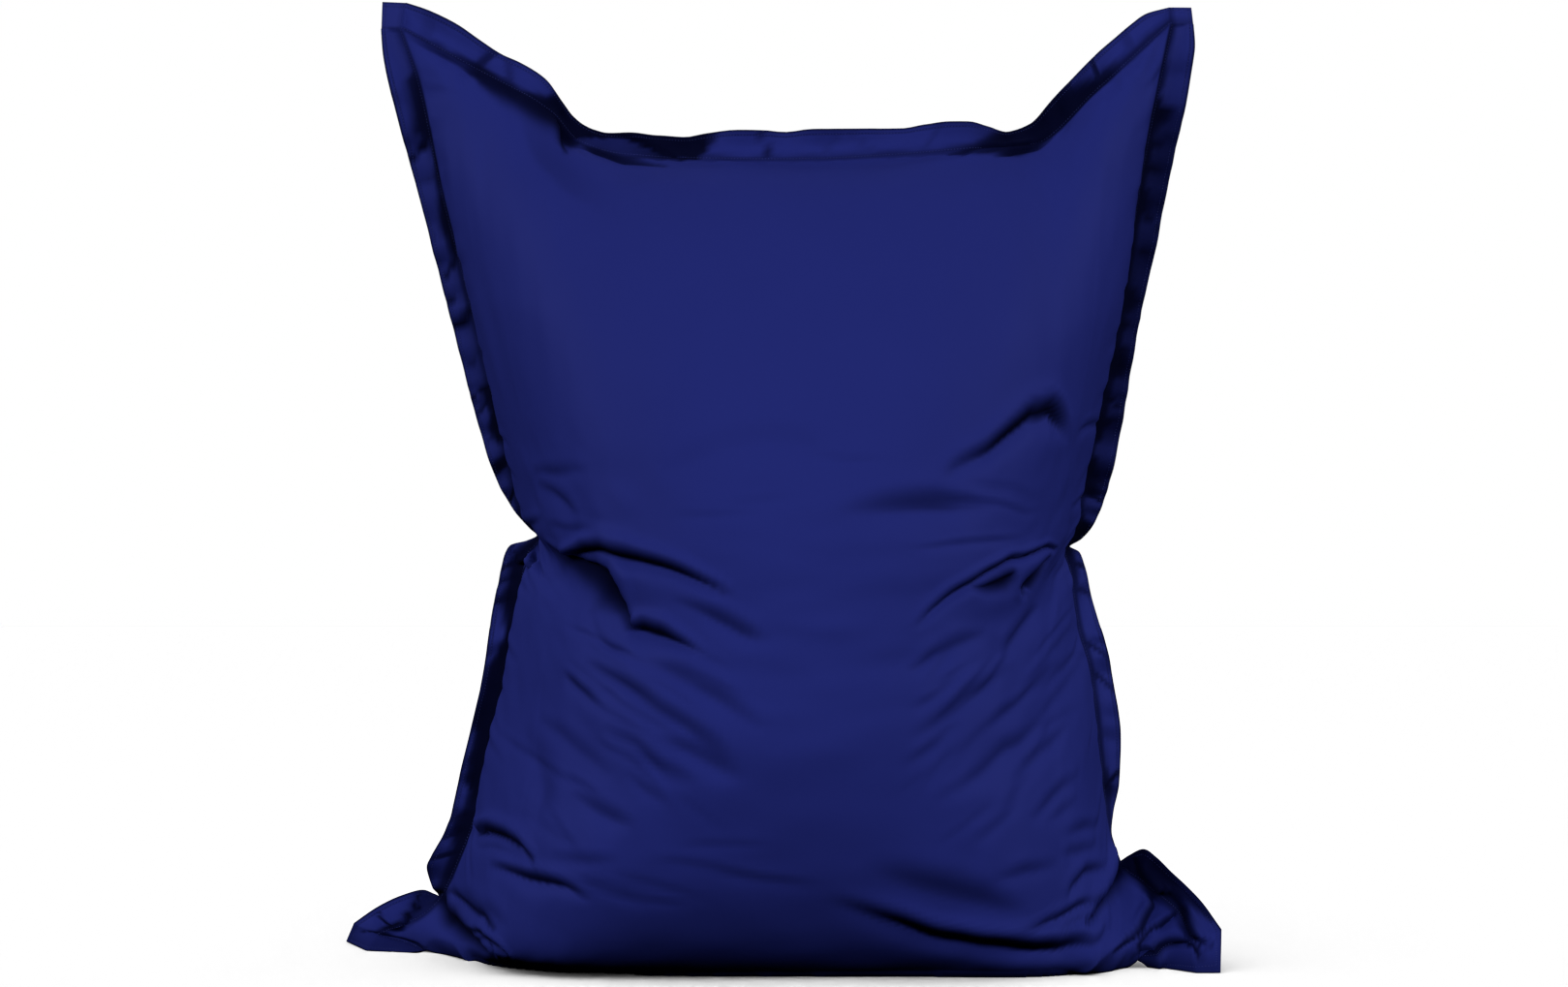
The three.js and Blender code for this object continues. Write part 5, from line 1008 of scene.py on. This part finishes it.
# ---- the finished skin ---------------------------------------------------------------------------------------------------
u2 = spread(NU * FINE, [-1, -.75, -.40, -.22, .22, .40, .75, 1], [1.40, 1.30, 1.05, .50, .50, 1.05, 1.30, 1.40])
v2 = spread(NV * FINE, [0, .15, .20, .38, .41, .52, .56, .60, .66, .93, .97, 1], [1.45, 1.40, 1.0, 1.0, 1.6, 1.6, 1.2, .9, .45, .45, 1.0, 1.2])
u1, v1 = u2[::FINE], v2[::FINE]
coarse = creased(u1, v1, np.arange(NF + 1) * BORDER / NF)
go_front, go_back = settle(coarse[0], coarse[1])
sheet, back_fine, painted_dark, back_painted_dark, plain, plain_back = creased(u2, v2, EDGE)
M = EDGE_CELLS
if go_front is not None:
    iv_, iu_ = np.arange(len(v2)) / FINE, np.arange(len(u2)) / FINE
    rows = np.r_[NF - EDGE[:0:-1] / BORDER * NF, NF + iv_, NF + NV + EDGE[1:] / BORDER * NF]
    cols = np.r_[NF - EDGE[:0:-1] / BORDER * NF, NF + iu_, NF + NU + EDGE[1:] / BORDER * NF]
    go = resample(go_front, rows, cols)
    rim = np.ones(go.shape[:2], bool)
    rim[M:-M, M:-M] = False
    go[rim] *= np.array([0, .6, 0])          # the border keeps its outline
    sheet += go
    back_fine += resample(go_back, iv_, iu_)
for g, b in ((sheet, plain), (back_fine, plain_back)):
    g[..., 2] = np.where(b[..., 2] <= 0, 0, np.maximum(g[..., 2], .0006))


def drop_twins(f):
    """A face without corners that fell on their neighbours."""
    return [x for i, x in enumerate(f) if x != f[i - 1]]


def build_cover():
    """One closed skin: front layer with border, back layer with border, joined round the outer edge."""
    global BORDER_LAYERS
    nv, nu = sheet.shape[:2]
    # the way through the border at every point of it, for its thickness
    n = normals(sheet, -1)
    n = smooth_grid(n, 2)
    half = np.zeros((nv, nu))
    rr = np.r_[EDGE[:0:-1], np.zeros(len(v2)), EDGE[1:]]
    cc = np.r_[EDGE[:0:-1], np.zeros(len(u2)), EDGE[1:]]
    far = np.maximum(rr[:, None], cc[None, :])
    half = np.interp(far, EDGE, THICK) / 2
    on_border = np.ones((nv, nu), bool)
    on_border[M + 1:-M - 1, M + 1:-M - 1] = False
    n = unit(n)
    flat_low = sheet[..., 2] < .0012
    front_pos = sheet + np.where((on_border & ~flat_low)[..., None], n * half[..., None], 0)
    rear_pos = sheet - np.where((on_border & ~flat_low)[..., None], n * half[..., None], 0)
    under = on_border & flat_low
    front_pos[under] += np.array([0, -.0006, 0])
    rear_pos[under] += np.array([0, .0006, 0])
    BORDER_LAYERS = (front_pos, rear_pos, n)
    verts, shade, edge_at = [], [], []
    front_id = np.arange(nv * nu).reshape(nv, nu)
    verts.append(front_pos.reshape(-1, 3))
    shade.append(painted_dark.ravel())
    edge_at.append(far.ravel())
    rear_id = np.full((nv, nu), -1)
    ring = np.argwhere(on_border)
    rear_id[on_border] = nv * nu + np.arange(len(ring))
    verts.append(rear_pos[on_border])
    shade.append(painted_dark[on_border])
    edge_at.append(far[on_border])
    # the back panel, at the coarse spacing; its seam row is the border's own
    bi, bj = np.arange(0, len(v2), FINE), np.arange(0, len(u2), FINE)
    back_id = np.full((len(bi), len(bj)), -1)
    first = nv * nu + len(ring)
    inner = back_fine[bi][:, bj][1:-1, 1:-1]
    back_id[1:-1, 1:-1] = first + np.arange(inner.shape[0] * inner.shape[1]).reshape(inner.shape[:2])
    verts.append(inner.reshape(-1, 3))
    shade.append(back_painted_dark[bi][:, bj][1:-1, 1:-1].ravel())
    edge_at.append(np.zeros(inner.shape[0] * inner.shape[1]))
    seam_rear = rear_id[M:-M, M:-M]
    back_id[0], back_id[-1] = seam_rear[0, ::FINE], seam_rear[-1, ::FINE]
    back_id[:, 0], back_id[:, -1] = seam_rear[::FINE, 0], seam_rear[::FINE, -1]
    faces = [tuple(f) for f in quads(front_id, False).tolist()]
    # rear layer of the border
    q = np.stack([rear_id[:-1, :-1], rear_id[1:, :-1], rear_id[1:, 1:], rear_id[:-1, 1:]], -1)
    inside = np.zeros(q.shape[:2], bool)
    inside[M:-M, M:-M] = True
    faces += [tuple(f) for f in q[~inside].tolist()]
    # the back panel, with the seam's extra points in its outer cells
    ni, nj = back_id.shape
    for i in range(ni - 1):
        for j in range(nj - 1):
            loop = [back_id[i, j]]
            if j == 0:
                loop.append(seam_rear[i * FINE + 1, 0])
            loop.append(back_id[i + 1, j])
            if i == ni - 2:
                loop.append(seam_rear[-1, j * FINE + 1])
            loop.append(back_id[i + 1, j + 1])
            if j == nj - 2:
                loop.append(seam_rear[i * FINE + 1, -1])
            loop.append(back_id[i, j + 1])
            if i == 0:
                loop.append(seam_rear[0, j * FINE + 1])
            faces.append(tuple(int(x) for x in loop))
    # the outer edge
    rim = [(0, j) for j in range(nu - 1)] + [(i, nu - 1) for i in range(nv - 1)] + [(nv - 1, j) for j in range(nu - 1, 0, -1)] + [(i, 0) for i in range(nv - 1, 0, -1)]
    for k, a in enumerate(rim):
        b = rim[(k + 1) % len(rim)]
        faces.append((int(front_id[a]), int(rear_id[a]), int(rear_id[b]), int(front_id[b])))
    # under the bag the border is pressed flat into the base: its rows fall together there
    same = np.arange(first + inner.shape[0] * inner.shape[1])
    flat_cols = [j for j in range(M, nu - M) if np.linalg.norm(plain[0, j] - plain[M, j]) < .0006]
    for j in flat_cols:
        same[front_id[:M, j]] = front_id[M, j]
        same[rear_id[:M, j]] = rear_id[M, j]
    faces = [tidy for tidy in (drop_twins([int(same[x]) for x in f]) for f in faces) if len(tidy) > 2]
    me = bpy.data.meshes.new("bean_bag_cover")
    me.from_pydata(np.concatenate(verts).tolist(), [], faces)
    # the painted shade goes on the skin as a point attribute, which darkens its colour
    for name, data in (("crease_and_painted_shade", np.concatenate(shade)), ("from_seam", np.concatenate(edge_at))):
        a = me.attributes.new(name, "FLOAT", "POINT")
        a.data.foreach_set("value", data.astype(np.float32))
    me.validate()
    bm = bmesh.new()
    bm.from_mesh(me)
    bmesh.ops.delete(bm, geom=[x for x in bm.verts if not x.link_faces], context="VERTS")
    bm.to_mesh(me)
    bm.free()
    me.shade_smooth()
    me.update()
    ob = bpy.data.objects.new("bean_bag_cover", me)
    bpy.context.scene.collection.objects.link(ob)
    return ob


def build_thread():
    """The two rows of top-stitching through the border, as they show on both of its faces."""
    front, rear, n = BORDER_LAYERS
    nv, nu = front.shape[:2]
    verts, faces = [], []
    for station, pitch in ((1, .0046), (7, .0046)):
        lo, hi_r, hi_c = M - station, nv - 1 - M + station, nu - 1 - M + station
        foot = M + 22
        path = [(lo, c) for c in range(foot, lo, -1)] + [(r, lo) for r in range(lo, hi_r)] + [(hi_r, c) for c in range(lo, hi_c)]
        path += [(r, hi_c) for r in range(hi_r, lo, -1)] + [(lo, c) for c in range(hi_c, nu - 1 - foot, -1)]
        path = np.array(path)
        for layer, sign in ((front, 1), (rear, -1)):
            p, way = layer[path[:, 0], path[:, 1]], n[path[:, 0], path[:, 1]] * sign
            s = np.r_[0, np.cumsum(np.linalg.norm(np.diff(p, axis=0), axis=1))]
            at = np.arange(pitch, s[-1] - pitch, pitch)
            col = lambda g, k: np.stack([np.interp(k, s, g[:, i]) for i in range(3)], -1)
            a, b, mid, out = col(p, at - .0016), col(p, at + .0016), col(p, at), unit(col(way, at))
            along = unit(b - a)
            across = np.cross(out, along)
            ok = (mid[:, 2] > .0022) & (np.linalg.norm(b - a, axis=1) > .0024)
            for i in np.nonzero(ok)[0]:
                k = len(verts)
                up = out[i]
                verts += [a[i] - up * .0003, b[i] - up * .0003, mid[i] + across[i] * .0005 + up * .0002, mid[i] - across[i] * .0005 + up * .0002,
                          mid[i] + up * .0008, mid[i] - up * .0006]
                for x, y, z in ((0, 4, 2), (2, 4, 1), (1, 4, 3), (3, 4, 0), (2, 5, 0), (1, 5, 2), (3, 5, 1), (0, 5, 3)):
                    faces.append((k + x, k + y, k + z))
    me = bpy.data.meshes.new("top_stitching")
    me.from_pydata(np.array(verts).tolist(), [], faces)
    bm = bmesh.new()
    bm.from_mesh(me)
    bmesh.ops.recalc_face_normals(bm, faces=bm.faces)
    bm.to_mesh(me)
    bm.free()
    me.shade_smooth()
    ob = bpy.data.objects.new("top_stitching", me)
    bpy.context.scene.collection.objects.link(ob)
    return ob


cover = build_cover()
thread = build_thread()

# ---- materials -----------------------------------------------------------------------------------------------------------
def cloth_material():
    m = bpy.data.materials.new("blue_satin_cloth")
    m.use_nodes = True
    t = m.node_tree
    n, l = t.nodes, t.links
    b = n["Principled BSDF"]
    b.inputs["Specular IOR Level"].default_value = .28
    b.inputs["Specular Tint"].default_value = (.10, .15, 1, 1)
    b.inputs["Sheen Weight"].default_value = .0
    b.inputs["Sheen Roughness"].default_value = .45
    b.inputs["Sheen Tint"].default_value = (.25, .33, 1, 1)
    at = n.new("ShaderNodeAttribute")
    at.attribute_name = "crease_and_painted_shade"
    co = n.new("ShaderNodeTexCoord")
    # broad, faint differences of colour, and a finer cloudiness from the yarn
    big = n.new("ShaderNodeTexNoise")
    big.inputs["Scale"].default_value = 5
    big.inputs["Detail"].default_value = 3
    l.new(co.outputs["Object"], big.inputs["Vector"])
    base = n.new("ShaderNodeMix")
    base.data_type = "RGBA"
    base.inputs["A"].default_value = (.0158, .0224, .1720, 1)
    base.inputs["B"].default_value = (.0174, .0248, .1890, 1)
    l.new(big.outputs["Fac"], base.inputs["Factor"])
    # painted shade: the base colour is mixed towards near black as far as the painted shade attribute says
    shade = n.new("ShaderNodeMix")
    shade.data_type = "RGBA"
    shade.inputs["B"].default_value = (.0005, .0006, .0040, 1)
    k = n.new("ShaderNodeMath")
    k.operation = "MULTIPLY"
    k.inputs[1].default_value = .97
    l.new(at.outputs["Fac"], k.inputs[0])
    l.new(k.outputs[0], shade.inputs["Factor"])
    l.new(base.outputs["Result"], shade.inputs["A"])
    l.new(shade.outputs["Result"], b.inputs["Base Color"])
    # the sheen: satin, a little uneven, and none deep in a crease
    rub = n.new("ShaderNodeTexNoise")
    rub.inputs["Scale"].default_value = 14
    rub.inputs["Detail"].default_value = 5
    l.new(co.outputs["Object"], rub.inputs["Vector"])
    even = n.new("ShaderNodeMapRange")
    even.inputs["To Min"].default_value = .54
    even.inputs["To Max"].default_value = .62
    l.new(rub.outputs["Fac"], even.inputs["Value"])
    dull = n.new("ShaderNodeMix")
    dull.inputs["B"].default_value = 1.0
    l.new(at.outputs["Fac"], dull.inputs["Factor"])
    l.new(even.outputs["Result"], dull.inputs["A"])
    l.new(dull.outputs["Result"], b.inputs["Roughness"])
    # weave
    wave_nodes = []
    for k_, direction in enumerate(("X", "Z")):
        w = n.new("ShaderNodeTexWave")
        w.bands_direction = direction
        w.inputs["Scale"].default_value = 420
        w.inputs["Distortion"].default_value = .6
        w.inputs["Detail"].default_value = 1
        l.new(co.outputs["Object"], w.inputs["Vector"])
        wave_nodes.append(w)
    add = n.new("ShaderNodeMath")
    add.operation = "ADD"
    l.new(wave_nodes[0].outputs["Fac"], add.inputs[0])
    l.new(wave_nodes[1].outputs["Fac"], add.inputs[1])
    fine = n.new("ShaderNodeTexNoise")
    fine.inputs["Scale"].default_value = 90
    fine.inputs["Detail"].default_value = 4
    l.new(co.outputs["Object"], fine.inputs["Vector"])
    b1 = n.new("ShaderNodeBump")
    b1.inputs["Strength"].default_value = .12
    b1.inputs["Distance"].default_value = .0003
    l.new(add.outputs[0], b1.inputs["Height"])
    b2 = n.new("ShaderNodeBump")
    b2.inputs["Strength"].default_value = .15
    b2.inputs["Distance"].default_value = .001
    l.new(fine.outputs["Fac"], b2.inputs["Height"])
    l.new(b1.outputs["Normal"], b2.inputs["Normal"])
    l.new(b2.outputs["Normal"], b.inputs["Normal"])
    return m


cover.data.materials.append(cloth_material())
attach(cover, "root")
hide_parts("filled_cover")

def thread_material():
    m = bpy.data.materials.new("blue_thread")
    m.use_nodes = True
    t = m.node_tree
    n, l = t.nodes, t.links
    b = n["Principled BSDF"]
    b.inputs["Roughness"].default_value = .5
    b.inputs["Specular IOR Level"].default_value = .3
    co = n.new("ShaderNodeTexCoord")
    # the thread's twist, and small differences from stitch to stitch
    twist = n.new("ShaderNodeTexWave")
    twist.bands_direction = "DIAGONAL"
    twist.inputs["Scale"].default_value = 500
    l.new(co.outputs["Object"], twist.inputs["Vector"])
    tone = n.new("ShaderNodeTexNoise")
    tone.inputs["Scale"].default_value = 120
    l.new(co.outputs["Object"], tone.inputs["Vector"])
    c = n.new("ShaderNodeMix")
    c.data_type = "RGBA"
    c.inputs["A"].default_value = (.016, .024, .150, 1)
    c.inputs["B"].default_value = (.028, .040, .235, 1)
    l.new(tone.outputs["Fac"], c.inputs["Factor"])
    l.new(c.outputs["Result"], b.inputs["Base Color"])
    k = n.new("ShaderNodeBump")
    k.inputs["Strength"].default_value = .3
    k.inputs["Distance"].default_value = .0002
    l.new(twist.outputs["Fac"], k.inputs["Height"])
    l.new(k.outputs["Normal"], b.inputs["Normal"])
    return m


thread.data.materials.append(thread_material())
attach(thread, "root")

# ---- floor, light and camera -------------------------------------------------------------------------------------------------
fm = bpy.data.meshes.new("floor")
fm.from_pydata([(-12, -12, 0), (12, -12, 0), (12, 12, 0), (-12, 12, 0)], [], [(0, 1, 2, 3)])
floor = bpy.data.objects.new("floor", fm)
bpy.context.scene.collection.objects.link(floor)
mat = bpy.data.materials.new("pale_floor")
mat.use_nodes = True
paint = mat.node_tree.nodes["Principled BSDF"]
paint.inputs["Base Color"].default_value = (.07, .07, .07, 1)
paint.inputs["Roughness"].default_value = .9
paint.inputs["Specular IOR Level"].default_value = 0
fm.materials.append(mat)
floor.is_shadow_catcher = True

world = bpy.data.worlds.new("studio")
bpy.context.scene.world = world
world.use_nodes = True
nt = world.node_tree
bg = nt.nodes["Background"]
bg.inputs["Color"].default_value = (1, 1, 1, 1)
# dim and from above on the bag, white behind it
tc = nt.nodes.new("ShaderNodeTexCoord")
sep = nt.nodes.new("ShaderNodeSeparateXYZ")
nt.links.new(tc.outputs["Generated"], sep.inputs[0])
ramp = nt.nodes.new("ShaderNodeMapRange")
ramp.inputs["From Min"].default_value = -.1
ramp.inputs["From Max"].default_value = .7
ramp.inputs["To Min"].default_value = .0
ramp.inputs["To Max"].default_value = .05
nt.links.new(sep.outputs["Z"], ramp.inputs["Value"])
lp = nt.nodes.new("ShaderNodeLightPath")
mix = nt.nodes.new("ShaderNodeMix")
mix.inputs["B"].default_value = 1.0
nt.links.new(lp.outputs["Is Camera Ray"], mix.inputs["Factor"])
nt.links.new(ramp.outputs["Result"], mix.inputs["A"])
nt.links.new(mix.outputs["Result"], bg.inputs["Strength"])

lit = bpy.data.collections.new("lit")
lit.objects.link(cover)
lit.objects.link(thread)


def softbox(name, azimuth, elevation, far, size, power):
    """A soft light round the bag: azimuth 0 is the front, degrees; it lights the cloth and leaves the floor alone."""
    d = bpy.data.lights.new(name, "AREA")
    d.shape, d.size, d.size_y, d.energy = "RECTANGLE", size[0], size[1], power
    o = bpy.data.objects.new(name, d)
    bpy.context.scene.collection.objects.link(o)
    a, e = math.radians(azimuth), math.radians(elevation)
    way = Vector((math.sin(a) * math.cos(e), -math.cos(a) * math.cos(e), math.sin(e)))
    o.location = Vector((0, 0, .6)) + way * far
    o.rotation_euler = (-way).to_track_quat("-Z", "Y").to_euler()
    o.light_linking.receiver_collection = lit
    o.visible_glossy = abs(azimuth) < 90


softbox("front", 0, 28, 9, (5.0, 2.2), 350)
softbox("front left", -66, 27, 9, (4.6, 2.2), 265)
softbox("front right", 66, 27, 9, (4.6, 2.2), 265)
softbox("back left", -132, 30, 9, (4.0, 2.2), 260)
softbox("back right", 132, 30, 9, (4.0, 2.2), 260)
softbox("back", 180, 32, 9, (4.0, 2.2), 230)

cam = bpy.data.cameras.new("camera")
cam.sensor_width = 36
cam.lens = 36 * FOCAL / 1619
cam.clip_start, cam.clip_end = .1, 100
camera = bpy.data.objects.new("camera", cam)
camera.location = CAMERA
camera.rotation_euler = (math.radians(90), 0, 0)
bpy.context.scene.collection.objects.link(camera)
bpy.context.scene.camera = camera
bpy.context.scene.view_settings.view_transform = "Standard"
